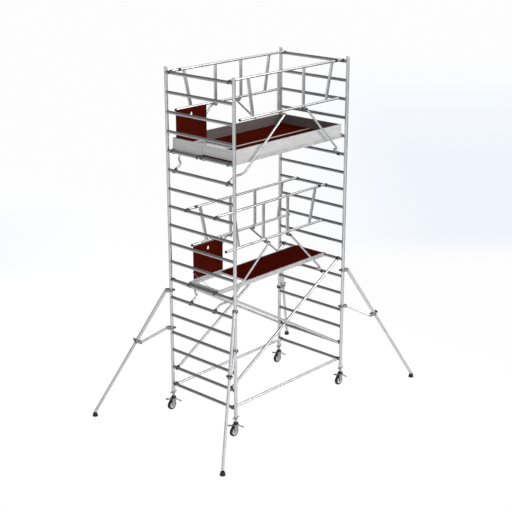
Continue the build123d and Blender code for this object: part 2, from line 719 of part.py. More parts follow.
def guard_fittings(offset, top):
    """Claws, sleeves, plugs and leg brackets of a far-side unit."""
    mid = top - GUARD_RAIL_GAP
    rung_z = top - GUARD_RAIL_RISE
    hook = claw(GUARD_CLAW_WIDTH, GUARD_RAIL_END)
    out = [
        Pos(-HALF_LENGTH, offset, rung_z) * hook,
        Pos(HALF_LENGTH, offset, rung_z) * mirror_x(hook),
    ]
    sleeve = flats(SLEEVE_OD, TUBE_FLATS) - flats(RAIL_OD, TUBE_FLATS)
    plane = Plane(origin=(-SLEEVE_LEFT - SLEEVE_LENGTH / 2, offset, top), x_dir=(0, 1, 0),
                  z_dir=(1, 0, 0))
    out.append(extrude(plane * sleeve, SLEEVE_LENGTH))
    for x, s in ((-MID_RAIL_LEFT, 1), (MID_RAIL_RIGHT, -1)):
        plug = bar((x, offset, mid), (x + s * PLUG_LENGTH, offset, mid), RAIL_OD + 2, 0, BORE_FLATS)
        out.append(plug)
    for x in (-LEG_PIVOT_LEFT, LEG_PIVOT_RIGHT):
        outline = Polyline(
            (-28, -RAIL_OD / 2), (28, -RAIL_OD / 2), (18, -LEG_PIVOT_DROP - 14),
            (-18, -LEG_PIVOT_DROP - 14), close=True,
        )
        plate = Plane(origin=(x, offset - 12, mid), x_dir=(1, 0, 0), z_dir=(0, -1, 0))
        lug = extrude(plane_face(plate, outline), -(LEG_PIVOT_OUT - LEG_OD / 2 - LEG_PIVOT_GAP + 12))
        out.append(lug)
    return out


def plane_face(plane, outline):
    return plane * make_face(outline)


def guard_leg(offset, top, left):
    """Folding leg of a far-side unit, from its pivot down to its claw on the lower rung. The
    claw's mouth is square to the line from rung to pivot, so the fold draws it off the rung."""
    rung = rung_height_below(top)
    s = -1 if left else 1
    pivot_x = LEG_PIVOT_LEFT if left else LEG_PIVOT_RIGHT
    out_y = offset + LEG_PIVOT_OUT
    in_y = offset - LEG_CLAW_INBOARD
    start = Vector(s * pivot_x, out_y, top - GUARD_RAIL_GAP - LEG_PIVOT_DROP)
    knee = Vector(s * LEG_KNEE_X, out_y, rung + LEG_KNEE_RISE)
    ankle = Vector(s * LEG_ANKLE_X, in_y, rung + LEG_ANKLE_RISE)
    lean = math.atan2(start.Z - rung, HALF_LENGTH - pivot_x)
    foot = Vector(s * HALF_LENGTH, in_y, rung)
    end = foot + Vector(-s * math.cos(lean), 0, math.sin(lean)) * LEG_CLAW_NECK
    tilt = lean - math.atan2(ankle.Z - end.Z, abs(end.X - ankle.X))
    way = (knee - start).normalized()
    head = start - way * 24
    wire = Polyline(head, knee, ankle, end)
    section = Plane(origin=head, z_dir=way) * flats(LEG_OD, TUBE_FLATS)
    tube = sweep(section, path=wire, transition=Transition.RIGHT)
    hook = claw(GUARD_CLAW_WIDTH, LEG_CLAW_NECK, RUNG_CORNER + LEG_CLAW_SEAT, -math.tan(tilt))
    hook = Rot(0, -math.degrees(lean), 0) * mirror(hook, about=Plane.XY)
    hook = hook if left else mirror_x(hook)
    return tube, Pos(foot.X, foot.Y, foot.Z) * hook


def rung_height_below(top):
    """Height of the rung that a unit's legs stand on."""
    heights = [rung_height(k + 1) for k in range(TOP_RUNG)]
    carried = min(range(TOP_RUNG), key=lambda k: abs(heights[k] - (top - GUARD_RAIL_RISE)))
    return heights[carried - LEG_RUNG_DROP]


fittings = []
for name, rung_number, offset in (
    ("lower", GUARD_RUNGS[0], GUARD_OFFSET_LOWER),
    ("upper", GUARD_RUNGS[1], GUARD_OFFSET_UPPER),
):
    top = rung_height(rung_number) + GUARD_RAIL_RISE
    rails = guard_rails(offset, top)
    metal = guard_fittings(offset, top)
    left_leg = guard_leg(offset, top, True)
    right_leg = guard_leg(offset, top, False)
    write(f"guardrails_{name}", *rails, *[turned(r) for r in rails])
    fittings += metal + [turned(m) for m in metal]
    write(f"guardrail_{name}_far_leg_left", *left_leg)
    write(f"guardrail_{name}_far_leg_right", *right_leg)
    write(f"guardrail_{name}_near_leg_right", *[turned(p) for p in left_leg])
    write(f"guardrail_{name}_near_leg_left", *[turned(p) for p in right_leg])
write("guardrail_fittings", *fittings)


# ---------------------------------------------------------------- screw jacks and castors
NUT_TOP = UPRIGHT_FOOT - NUT_CLEAR


def spindle():
    """Jack spindle, from the castor's housing up into the upright."""
    foot = HOUSING_TOP + NUT_CLEAR
    return bar((0, 0, foot), (0, 0, foot + SPINDLE_LENGTH), SPINDLE_OD, SPINDLE_WALL)


def jack_nut():
    """Nut under the upright with a wing on each side."""
    body = bar((0, 0, NUT_TOP - NUT_HEIGHT), (0, 0, NUT_TOP), NUT_OD, 0, BORE_FLATS)
    wing = Pos(0, 0, NUT_TOP - NUT_HEIGHT / 2) * Box(
        NUT_WING_SPAN, NUT_WING_THICK, NUT_WING_HEIGHT
    )
    body = body + wing
    bore = (SPINDLE_OD + 2 * NUT_CLEAR) / math.cos(math.radians(180 / TUBE_FLATS))
    return body - bar((0, 0, NUT_TOP - 2 * NUT_HEIGHT), (0, 0, NUT_TOP + 1), bore)


def castor_fork():
    """Swivel housing with a tapering side plate down each side of the wheel, and the axle."""
    radius = WHEEL_OD / 2
    under = HOUSING_TOP - HOUSING_HEIGHT
    tip = FORK_TIP_WIDTH / 2
    side = FORK_GAP / 2 + FORK_PLATE
    solid = bar((0, 0, under), (0, 0, HOUSING_TOP), HOUSING_OD)
    solid = solid + box_between((-46, -side, under - CROWN_THICK), (34, side, under))
    outline = Polyline(
        (-46, under), (34, under), (30, under - 34), (-TRAIL + tip, radius), (-TRAIL, radius - tip),
        (-TRAIL - tip, radius), (-58, under - 34), close=True,
    )
    for s in (-1, 1):
        plane = Plane(origin=(0, s * (side - FORK_PLATE / 2), 0), x_dir=(1, 0, 0), z_dir=(0, -1, 0))
        solid = solid + extrude(plane_face(plane, outline), FORK_PLATE / 2, both=True)
    axle = bar((-TRAIL, -side - 6, radius), (-TRAIL, side + 6, radius), AXLE_OD, 0, BORE_FLATS)
    pin = bar((ROCKER_PIVOT_X, -side, ROCKER_PIVOT_Z), (ROCKER_PIVOT_X, side, ROCKER_PIVOT_Z),
              ROCKER_PIN_OD, 0, BORE_FLATS)
    return solid + axle + pin


def ring_stack(steps, count):
    """Turned form about Z built from (height, diameter) steps, each face with plain flats."""
    solid = None
    for (z0, d0), (z1, d1) in zip(steps, steps[1:]):
        if z1 == z0:
            continue
        low = Plane.XY.offset(z0) * flats(d0, count)
        if d0 == d1:
            piece = extrude(low, z1 - z0)
        else:
            piece = loft([low, Plane.XY.offset(z1) * flats(d1, count)], ruled=True)
        solid = piece if solid is None else solid + piece
    return solid


def castor_wheel():
    """Tyre and hub about the wheel's own axis."""
    half = TYRE_WIDTH / 2
    bevel = TYRE_BEVEL
    tyre = ring_stack(
        ((-half, WHEEL_OD - 2 * bevel), (-half + bevel, WHEEL_OD),
         (half - bevel, WHEEL_OD), (half, WHEEL_OD - 2 * bevel)), WHEEL_FLATS)
    seat = WHEEL_OD - 2 * TYRE_SECTION
    tyre -= ring_stack(((-TYRE_WIDTH, seat), (TYRE_WIDTH, seat)), HUB_FLATS)
    hub = ring_stack(((-half + 4, seat), (half - 4, seat)), HUB_FLATS)
    boss = ring_stack(((-HUB_WIDTH / 2, HUB_BOSS_OD), (HUB_WIDTH / 2, HUB_BOSS_OD)), BORE_FLATS)
    bore = AXLE_OD / math.cos(math.pi / BORE_FLATS) + 2 * AXLE_CLEAR
    hub = hub + boss - ring_stack(((-HUB_WIDTH, bore), (HUB_WIDTH, bore)), BORE_FLATS)
    turn = Pos(-TRAIL, 0, WHEEL_OD / 2) * Rot(90, 0, 0)
    return turn * tyre, turn * hub


def brake_rocker():
    """Foot pedal on a pin over the wheel, up at one end and down at the other."""
    t = ROCKER_THICK
    px, pz = ROCKER_PIVOT_X, ROCKER_PIVOT_Z
    (lx, lz), (rx, rz) = ROCKER_LEFT, ROCKER_RIGHT
    outline = Polyline(
        (lx, lz), (px - 88, pz + 26 + t / 2), (px - 34, pz + t / 2), (px + 26, pz + t / 2),
        (rx, rz + t), (rx - 6, rz), (px + 22, pz - t / 2), (px - 36, pz - t / 2),
        (px - 92, pz + 24 - t / 2), (lx + 4, lz - t), close=True,
    )
    plane = Plane(origin=(0, 0, 0), x_dir=(1, 0, 0), z_dir=(0, -1, 0))
    solid = extrude(plane_face(plane, outline), ROCKER_WIDTH / 2, both=True)
    bore = ROCKER_PIN_OD / math.cos(math.pi / BORE_FLATS) + 2 * ROCKER_PIN_CLEAR
    return solid - bar((px, -ROCKER_WIDTH, pz), (px, ROCKER_WIDTH, pz), bore, 0, BORE_FLATS)


CORNERS = (
    ("near_left", -1, -1), ("near_right", 1, -1), ("far_left", -1, 1), ("far_right", 1, 1),
)
for name, sx, sy in CORNERS:
    at = Pos(sx * HALF_LENGTH, sy * HALF_WIDTH, 0)
    write(f"jack_spindle_{name}", at * spindle())
    write(f"jack_nut_{name}", at * jack_nut())
    write(f"castor_fork_{name}", at * castor_fork())
    write(f"castor_wheel_{name}", *[at * w for w in castor_wheel()])
    write(f"castor_brake_{name}", at * brake_rocker())


# ---------------------------------------------------------------- stabilisers
STAB_REACH = math.hypot(STAB_REACH_X, STAB_REACH_Y)
STAB_TURN = math.degrees(math.atan2(STAB_REACH_Y, STAB_REACH_X))


def stabiliser_lines():
    """Key points of a stabiliser in the plane y = 0: head, foot, joint, middle of the arm's
    coupler, the arm's upper and lower pivots, and the leg's direction."""
    head = Vector(STAB_STANDOFF, 0, STAB_UPPER_CLAMP)
    foot = Vector(STAB_REACH, 0, STAB_FOOT_HEIGHT)
    way = (foot - head).normalized()
    length = (foot - head).length
    joint = head + way * (length * STAB_SLIDER)
    coupler = joint - way * STAB_ELBOW
    arm_head = Vector(STAB_STANDOFF, 0, STAB_LOWER_CLAMP)
    elbow = coupler + Vector(way.Z, 0, -way.X) * STAB_STANDOFF
    return head, foot, joint, coupler, arm_head, elbow, way


def stabiliser():
    """Tubes and shoe of a stabiliser, with its upright at the origin and its foot towards +X."""
    head, foot, joint, coupler, arm_head, elbow, way = stabiliser_lines()
    outer = bar(head - way * STAB_HEAD_STUB, joint, STAB_OD, STAB_WALL)
    inner = bar(joint - way * STAB_INNER_HIDDEN, foot - way * STAB_SHOE_GAP, STAB_INNER_OD, STAB_WALL)
    top = STAB_FOOT_HEIGHT - STAB_SHOE_GAP
    taper = math.degrees(math.atan((STAB_FOOT_OD - STAB_FOOT_TOP_OD) / 2 / top))
    shoe = extrude(flats(STAB_FOOT_OD, TUBE_FLATS), top, taper=taper)
    reach = (elbow - arm_head).normalized()
    stub = reach * STAB_HEAD_STUB
    arm = bar(arm_head - stub, elbow + stub, STAB_ARM_OD, STAB_WALL)
    return outer, inner, Pos(foot.X, 0, 0) * shoe, arm


def clamp(z, tube_od):
    """Half-coupler round a tube along Z, with two ears towards +X that hold another tube's end."""
    bore = UPRIGHT_OD / math.cos(math.pi / UPRIGHT_FLATS) + 2 * CLAMP_CLEAR
    low, high = (0, 0, z - CLAMP_HEIGHT / 2), (0, 0, z + CLAMP_HEIGHT / 2)
    solid = bar(low, high, bore + 2 * CLAMP_THICK, 0, BORE_FLATS)
    inner = tube_od / 2 + CLAMP_CLEAR
    for s in (-1, 1):
        a, b = sorted((s * inner, s * (inner + EAR_THICK)))
        solid = solid + box_between((EAR_ROOT, a, low[2]), (STAB_STANDOFF + EAR_REACH, b, high[2]))
    return solid - bar(low, high, bore, 0, BORE_FLATS)


def leg_clamp():
    """The same half-coupler on the leg's outer tube, with its ears down towards the arm's end."""
    coupler, way = stabiliser_lines()[3], stabiliser_lines()[6]
    place = Plane(origin=coupler, x_dir=(way.Z, 0, -way.X), z_dir=way)
    return place * clamp(0, STAB_ARM_OD)


for name, sx, sy in CORNERS:
    turn = STAB_TURN * sy if sx > 0 else 180 - STAB_TURN * sy
    at = Pos(sx * HALF_LENGTH, sy * HALF_WIDTH, 0) * Rot(0, 0, turn)
    outer, inner, shoe, arm = stabiliser()
    fixed = (outer, arm, leg_clamp(), clamp(STAB_UPPER_CLAMP, STAB_OD),
             clamp(STAB_LOWER_CLAMP, STAB_ARM_OD))
    write(f"stabiliser_{name}", *[at * piece for piece in fixed])
    write(f"stabiliser_foot_{name}", at * inner, at * shoe)

print(len(WRITTEN), "pieces written")
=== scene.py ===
"""Mobile tower scaffold: smooth tubes, castings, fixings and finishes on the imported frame.

Lengths are in metres. X runs along the platform, Y across the tower and Z up.
"""

from __future__ import annotations

import json
import logging
import math
from dataclasses import dataclass, field
from enum import Enum
from functools import cache
from typing import Any, Callable, Iterable, Optional, Sequence, Union

import bmesh
import bpy
from mathutils import Matrix, Vector

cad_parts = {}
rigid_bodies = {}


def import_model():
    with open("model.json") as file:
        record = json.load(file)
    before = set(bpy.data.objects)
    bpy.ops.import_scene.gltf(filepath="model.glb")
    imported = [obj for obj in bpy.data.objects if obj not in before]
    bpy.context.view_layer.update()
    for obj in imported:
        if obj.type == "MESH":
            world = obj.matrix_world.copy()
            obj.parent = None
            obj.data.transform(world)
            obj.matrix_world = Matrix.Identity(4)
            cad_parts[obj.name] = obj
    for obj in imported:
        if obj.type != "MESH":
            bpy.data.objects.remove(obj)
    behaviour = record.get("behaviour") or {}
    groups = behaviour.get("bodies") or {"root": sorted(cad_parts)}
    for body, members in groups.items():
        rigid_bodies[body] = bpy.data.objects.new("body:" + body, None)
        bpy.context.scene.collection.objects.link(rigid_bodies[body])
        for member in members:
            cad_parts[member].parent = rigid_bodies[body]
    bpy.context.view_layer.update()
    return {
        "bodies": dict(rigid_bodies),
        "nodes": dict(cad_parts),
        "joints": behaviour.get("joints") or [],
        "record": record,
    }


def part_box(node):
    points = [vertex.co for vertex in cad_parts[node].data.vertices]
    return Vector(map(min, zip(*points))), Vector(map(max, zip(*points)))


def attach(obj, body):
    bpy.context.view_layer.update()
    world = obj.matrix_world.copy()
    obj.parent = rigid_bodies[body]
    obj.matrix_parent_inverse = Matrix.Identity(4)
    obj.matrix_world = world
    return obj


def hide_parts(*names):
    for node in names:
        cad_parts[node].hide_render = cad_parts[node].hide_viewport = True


LOG = logging.getLogger("tower")

Number = Union[float, "Field"]
Point = Sequence[float]
Colour = tuple[float, float, float]
Outline = Sequence[tuple[float, float]]
Aimed = list[tuple[Point, Point]]

ORIGIN, X_WAY, Y_WAY, Z_WAY = (0, 0, 0), (1, 0, 0), (0, 1, 0), (0, 0, 1)
SIGNS = (-1, 1)
HANDS = (("left", -1), ("right", 1))
LEVELS = ("base", "middle", "top")
WHITE = (1.0, 1.0, 1.0)
BROKEN_EDGE = 0.0008
LEAST_RADIUS = 1e-5
LONGEST_BEND = 0.45
FRAME: dict[str, Any] = {}


class Axis(Enum):
    """Direction that a drawn tube's grain runs in."""

    ALONG = 0
    UP = 2


class Corner(Enum):
    """The four corners of the tower, with the signs of their X and Y."""

    NEAR_LEFT = (-1, -1)
    NEAR_RIGHT = (1, -1)
    FAR_LEFT = (-1, 1)
    FAR_RIGHT = (1, 1)

    @property
    def label(self) -> str:
        """Name of the corner as the nodes use it."""
        return self.name.lower()


# ------------------------------------------------------------------ shader graph
def shade(colour: Colour, share: float) -> Colour:
    """Colour made darker or paler by a share."""
    return tuple(c * share for c in colour)


def operator(operation: str, swapped: bool = False) -> Callable[["Field", Number], "Field"]:
    """Method that adds a Math node of two values.

    Args:
        operation: Name of the Math node's operation.
        swapped: Whether the field stands on the right of the sign.

    Returns:
        The method.
    """
    def method(field_: "Field", other: Number) -> "Field":
        """Result of the node."""
        return field_.reckon(operation, *((other, field_) if swapped else (field_, other)))
    return method


class Field:
    """A shader value that is reckoned with like a number."""

    def __init__(self, graph: "Graph", socket: bpy.types.NodeSocket) -> None:
        """Wrap a socket.

        Args:
            graph: Graph that the socket belongs to.
            socket: Output socket to wrap.
        """
        self.graph = graph
        self.socket = socket

    def reckon(self, operation: str, *terms: Number, clamp: bool = False) -> "Field":
        """Add one Math node.

        Args:
            operation: Name of the Math node's operation.
            *terms: The node's values, in order.
            clamp: Whether the result is held between 0 and 1.

        Returns:
            The node's result.
        """
        return self.graph.node(
            "ShaderNodeMath",
            {"operation": operation, "use_clamp": clamp},
            dict(enumerate(terms)),
        )

    __add__, __radd__ = operator("ADD"), operator("ADD", swapped=True)
    __sub__, __rsub__ = operator("SUBTRACT"), operator("SUBTRACT", swapped=True)
    __mul__, __rmul__ = operator("MULTIPLY"), operator("MULTIPLY", swapped=True)

    def __neg__(self) -> "Field":
        """Opposite sign."""
        return self.reckon("MULTIPLY", self, -1.0)

    def size(self) -> "Field":
        """Value without its sign."""
        return self.reckon("ABSOLUTE", self)

    def wave(self) -> "Field":
        """Sine of the value."""
        return self.reckon("SINE", self)

    def held(self) -> "Field":
        """Value held between 0 and 1."""
        return self.reckon("ADD", self, 0.0, clamp=True)

    def rise(self, low: float, high: float) -> "Field":
        """Smooth step.

        Args:
            low: Value at which the step starts.
            high: Value at which it is complete.

        Returns:
            0 below low, 1 above high, and a smooth rise between.
        """
        return self.graph.node(
            "ShaderNodeMapRange",
            {"interpolation_type": "SMOOTHSTEP", "clamp": True},
            {"Value": self, "From Min": low, "From Max": high, "To Min": 0.0, "To Max": 1.0},
        )


class Graph:
    """Node graph of one material or of the world."""

    def __init__(self, tree: bpy.types.NodeTree) -> None:
        """Take over a node tree and empty it."""
        self.tree = tree
        tree.nodes.clear()

    def node(
        self,
        kind: str,
        settings: Optional[dict[str, Any]] = None,
        inputs: Optional[dict[Any, Any]] = None,
        out: Union[int, str] = 0,
    ) -> Field:
        """Add any node.

        Args:
            kind: Blender's type name of the node.
            settings: Properties to set first; "stops" holds a ramp's (place, colour) pairs.
            inputs: Values or fields by socket name or number.
            out: Output socket to return, by name or number.

        Returns:
            The chosen output as a field.
        """
        made = self.tree.nodes.new(kind)
        for key, value in (settings or {}).items():
            if key == "stops":
                self._ramp(made.color_ramp, value)
            else:
                setattr(made, key, value)
        for key, value in (inputs or {}).items():
            if isinstance(value, Field):
                self.tree.links.new(value.socket, made.inputs[key])
            else:
                made.inputs[key].default_value = value
        return Field(self, made.outputs[out]) if made.outputs else Field(self, made.inputs[0])

    @staticmethod
    def _ramp(ramp: bpy.types.ColorRamp, stops: Sequence[tuple[float, Sequence[float]]]) -> None:
        """Set the stops of a colour ramp.

        Args:
            ramp: Ramp to set.
            stops: Places with their colours, from low to high.
        """
        while len(ramp.elements) < len(stops):
            ramp.elements.new(0.5)
        for element, (place, colour) in zip(ramp.elements, stops):
            element.position = place
            element.color = (*colour, 1.0)

    def place(self) -> Field:
        """Object coordinates."""
        return self.node("ShaderNodeTexCoord", out="Object")

    def facing(self) -> tuple[Field, Field, Field]:
        """X, Y and Z of the surface's own normal."""
        return self.split(self.node("ShaderNodeTexCoord", out="Normal"))

    def split(self, vector: Field) -> tuple[Field, Field, Field]:
        """Three numbers of a vector.

        Args:
            vector: Vector to take apart.

        Returns:
            Its X, Y and Z.
        """
        first = self.node("ShaderNodeSeparateXYZ", {}, {0: vector})
        outs = first.socket.node.outputs
        return first, Field(self, outs[1]), Field(self, outs[2])

    def stretched(self, scale: Point) -> Field:
        """Object coordinates scaled by a number for each axis."""
        return self.node("ShaderNodeVectorMath", {"operation": "MULTIPLY"},
                         {0: self.place(), 1: tuple(scale)})

    def noise(self, vector: Field, scale: float, detail: float = 3.0, rough: float = 0.55) -> Field:
        """Soft cloudy noise.

        Args:
            vector: Coordinates to read.
            scale: How many blotches to the metre.
            detail: Octaves of finer noise.
            rough: Strength of the finer noise.

        Returns:
            Noise around one half.
        """
        return self.node("ShaderNodeTexNoise", {"noise_dimensions": "3D"},
                         {"Vector": vector, "Scale": scale, "Detail": detail, "Roughness": rough})

    def blend(self, share: Number, first: Any, second: Any) -> Field:
        """Mix of two colours.

        Args:
            share: How much of the second colour, 0 to 1.
            first: Colour at 0.
            second: Colour at 1.

        Returns:
            The mixed colour.
        """
        colours = {6: first, 7: second}
        sockets = {key: value if isinstance(value, Field) else (*value, 1.0)
                   for key, value in colours.items()}
        return self.node("ShaderNodeMix", {"data_type": "RGBA", "clamp_factor": True},
                         {0: share, **sockets}, out=2)

    def bump(self, height: Field, strength: float, distance: float) -> Field:
        """Bumped normal from a height."""
        return self.node("ShaderNodeBump", {},
                         {"Height": height, "Strength": strength, "Distance": distance})

    def skin(self, colour: Field, rough: Field, height: Field, strength: float,
             distance: float) -> dict[str, Any]:
        """Sockets of a bumped surface.

        Args:
            colour: Its colour.
            rough: Its roughness, which is held between 0 and 1.
            height: Height that is bumped.
            strength: Strength of the bump.
            distance: Depth of the bump in metres.

        Returns:
            Socket names of the surface shader with their fields.
        """
        return {"Base Color": colour, "Roughness": rough.held(),
                "Normal": self.bump(height, strength, distance)}


# ------------------------------------------------------------------ finishes
@dataclass(frozen=True)
class Finish:
    """A surface finish: its name, and its plain colour, roughness and metalness."""

    name: str
    colour: Colour
    roughness: float = 0.5
    metallic: float = 0.0
    specular: float = 0.5

    def material(self) -> bpy.types.Material:
        """Material of this finish, made once and then shared.

        Returns:
            The material.
        """
        known = bpy.data.materials.get(self.name)
        if known is not None:
            return known
        made = bpy.data.materials.new(self.name)
        made.use_nodes = True
        graph = Graph(made.node_tree)
        sockets = {"Specular IOR Level": self.specular, "Metallic": self.metallic}
        sockets.update(self.surface(graph))
        shader = graph.node("ShaderNodeBsdfPrincipled", {}, sockets)
        graph.node("ShaderNodeOutputMaterial", {}, {"Surface": shader})
        return made

    def surface(self, graph: Graph) -> dict[str, Any]:
        """Sockets of the shader that vary over the surface.

        Args:
            graph: Graph to build in.

        Returns:
            Socket names with their fields or values.
        """
        raise NotImplementedError


@dataclass(frozen=True)
class DrawnAluminium(Finish):
    """Bare drawn or extruded aluminium: die lines, dull handling patches and small nicks."""

    grain: Axis = Axis.UP
    lines: float = 900.0
    wear: float = 1.0

    def surface(self, graph: Graph) -> dict[str, Any]:
        """Die lines along the grain, cloudy oxide, and scattered bright nicks.

        Args:
            graph: Graph to build in.

        Returns:
            Socket names with their fields or values.
        """
        stretch = [1.0, 1.0, 1.0]
        stretch[self.grain.value] = 0.02
        long_way = graph.stretched(stretch)
        die = graph.noise(long_way, self.lines, 2.0)
        cloud = graph.noise(graph.place(), 7.0, 5.0, 0.6)
        nick = graph.noise(graph.place(), 160.0, 2.0).rise(0.70, 0.76) * self.wear
        dark = shade(self.colour, 0.86)
        pale = tuple(min(1.0, c * 1.06) for c in self.colour)
        colour = graph.blend(cloud.rise(0.3, 0.7), dark, self.colour)
        colour = graph.blend(nick * 0.6, colour, pale)
        rough = self.roughness + (cloud - 0.5) * 0.16 + (die - 0.5) * 0.10 - nick * 0.08
        return graph.skin(colour, rough, die * 0.6 + nick, 0.04, 0.0005)


@dataclass(frozen=True)
class DeckAlloy(DrawnAluminium):
    """Extruded deck beams whose end claws are dark castings."""

    claws_from: float = 1.187
    blur: float = 0.0004
    casting: Colour = (0.17, 0.17, 0.175)

    def surface(self, graph: Graph) -> dict[str, Any]:
        """Beam metal, and the pebbled casting beyond the beams' ends.

        Args:
            graph: Graph to build in.

        Returns:
            Socket names with their fields or values.
        """
        sockets = super().surface(graph)
        along, _, _ = graph.split(graph.place())
        end = along.size().rise(self.claws_from - self.blur, self.claws_from + self.blur)
        pebble = graph.noise(graph.place(), 420.0, 3.0, 0.6)
        cast = graph.blend(pebble.rise(0.35, 0.65), shade(self.casting, 0.75), self.casting)
        sockets["Base Color"] = graph.blend(end, sockets["Base Color"], cast)
        return sockets


@dataclass(frozen=True)
class RibbedRung(Finish):
    """Rung tube: bare below, with painted shade round its upper half, a dark reflection painted into the
    colour.
    """

    # colour of the painted shade on the upper half, a dark reflection painted in
    grip: Colour = (0.235, 0.235, 0.238)

    def surface(self, graph: Graph) -> dict[str, Any]:
        """Painted shade where the tube faces up, paler in worn patches.

        Args:
            graph: Graph to build in.

        Returns:
            Socket names with their fields or values.
        """
        _, _, up = graph.facing()
        scuff = graph.noise(graph.stretched((1.0, 0.25, 1.0)), 34.0, 5.0, 0.65)
        # painted shade: where the tube faces up, its colour is darkened to stand for a dark reflection
        band = up.rise(-0.30, 0.30)
        worn = scuff.rise(0.58, 0.74) * 0.35
        bare = graph.blend(scuff, shade(self.colour, 0.88), self.colour)
        dark = graph.blend(worn, self.grip, shade(self.colour, 0.55))
        colour = graph.blend(band, bare, dark)
        rough = self.roughness + band * 0.14 + (scuff - 0.5) * 0.15
        return graph.skin(colour, rough, scuff, 0.10, 0.0008)


@dataclass(frozen=True)
class FilmedPly(Finish):
    """Dark red phenolic-filmed plywood with a fine wire-mesh tread pressed into its top."""

    mesh: float = 0.0045
    scuffed: Colour = (0.22, 0.13, 0.10)

    def film(self, graph: Graph, streak: Field, cloud: Field, scuff: Field) -> Field:
        """Colour of the red film.

        Args:
            graph: Graph to build in.
            streak: Long streaks of grain.
            cloud: Wide uneven patches.
            scuff: Pale scuffs.

        Returns:
            The mixed colour.
        """
        film = graph.blend(streak.rise(0.32, 0.68), shade(self.colour, 0.72), self.colour)
        film = graph.blend(cloud.rise(0.45, 0.75) * 0.5, film, shade(self.colour, 1.30))
        return graph.blend(scuff * 0.10, film, self.scuffed)

    def surface(self, graph: Graph) -> dict[str, Any]:
        """Pressed mesh, long streaks of grain telegraphing through, and pale scuffs.

        Args:
            graph: Graph to build in.

        Returns:
            Socket names with their fields or values.
        """
        along, across, up = graph.split(graph.place())
        _, _, facing = graph.facing()
        streak = graph.noise(graph.stretched((0.7, 9.0, 9.0)), 6.0, 4.0, 0.6)
        cloud = graph.noise(graph.place(), 3.5, 4.0, 0.55)
        scuff = graph.noise(graph.stretched((1.0, 2.5, 1.0)), 28.0, 5.0, 0.7).rise(0.64, 0.78)
        pitch = 2 * math.pi / self.mesh
        weave = (along * pitch).wave() * ((across + up) * pitch).wave()
        rough = self.roughness + (cloud - 0.5) * 0.14 + scuff * 0.12
        return graph.skin(self.film(graph, streak, cloud, scuff), rough,
                          weave * facing.size() + streak * 0.5, 0.22, 0.0006)


@dataclass(frozen=True)
class HatchPly(FilmedPly):
    """Filmed plywood hatch with bare metal hinges along one edge."""

    pin_height: float = 0.0
    metal: Colour = (0.62, 0.62, 0.62)

    def surface(self, graph: Graph) -> dict[str, Any]:
        """Red film, upright streaks, and metal where the hinge barrels and leaves are.

        Args:
            graph: Graph to build in.

        Returns:
            Socket names with their fields or values.
        """
        along, _, up = graph.split(graph.place())
        streak = graph.noise(graph.stretched((9.0, 9.0, 0.7)), 6.0, 4.0, 0.6)
        cloud = graph.noise(graph.place(), 4.0, 4.0, 0.55)
        scuff = graph.noise(graph.place(), 30.0, 5.0, 0.7).rise(0.66, 0.80)
        pitch = 2 * math.pi / self.mesh
        weave = (along * pitch).wave() * (up * pitch).wave()
        hinge = 1.0 - up.rise(self.pin_height + 0.0065, self.pin_height + 0.0075)
        colour = graph.blend(hinge, self.film(graph, streak, cloud, scuff), self.metal)
        rough = self.roughness + (cloud - 0.5) * 0.14 + scuff * 0.12 - hinge * 0.1
        return {**graph.skin(colour, rough, weave + streak * 0.5, 0.15, 0.0006),
                "Metallic": hinge * 0.9}


@dataclass(frozen=True)
class ToeBoardSkin(Finish):
    """Extruded toe board: bright outside, with painted shade on the faces that look inwards, paler there in
    dusty patches.
    """

    # colour of the painted shade on the faces that look inwards
    inside: Colour = (0.17, 0.14, 0.135)
    half_length: float = 1.16
    half_width: float = 0.598
    rib: float = 0.0125

    def surface(self, graph: Graph) -> dict[str, Any]:
        """Fine ribs along the board with painted shade in their grooves and painted highlights on their
        crests, and painted shade on the faces that look inwards.

        Args:
            graph: Graph to build in.

        Returns:
            Socket names with their fields or values.
        """
        along, across, up = graph.split(graph.place())
        face_x, face_y, _ = graph.facing()
        # painted shade: faces that look into the platform are darkened in the colour, with paler dusty
        # patches
        inward = (-(along * face_x * (1 / self.half_length))
                  - across * face_y * (1 / self.half_width))
        inner = inward.rise(0.30, 0.62)
        ribs = (up * (2 * math.pi / self.rib)).wave()
        cloud = graph.noise(graph.stretched((0.25, 0.25, 1.0)), 22.0, 5.0, 0.6)
        dust = graph.noise(graph.place(), 60.0, 4.0, 0.65).rise(0.52, 0.72)
        dark = shade(self.colour, 0.93)
        shell = graph.blend(cloud.rise(0.3, 0.7), dark, self.colour)
        dull = graph.blend(dust * 0.35, self.inside, shade(self.inside, 1.7))
        # painted highlight: paler lines along the rib crests of the shaded inner faces
        dull = graph.blend(ribs.rise(-0.2, 0.8) * 0.22, dull, shade(self.inside, 1.5))
        split = (1.0 - across.size().rise(0.0012, 0.0022)) * face_x.size().rise(0.7, 0.9)
        shell = graph.blend(split, shell, (0.03, 0.03, 0.03))
        # painted shade: dark lines in the rib grooves of the outer faces
        shell = graph.blend((1.0 - ribs.rise(-0.95, -0.55)) * 0.30, shell, (0.30, 0.30, 0.30))
        colour = graph.blend(inner, shell, dull)
        rough = self.roughness + (cloud - 0.5) * 0.12 + inner * 0.10
        return graph.skin(colour, rough, ribs + cloud * 0.4, 0.06, 0.0006)


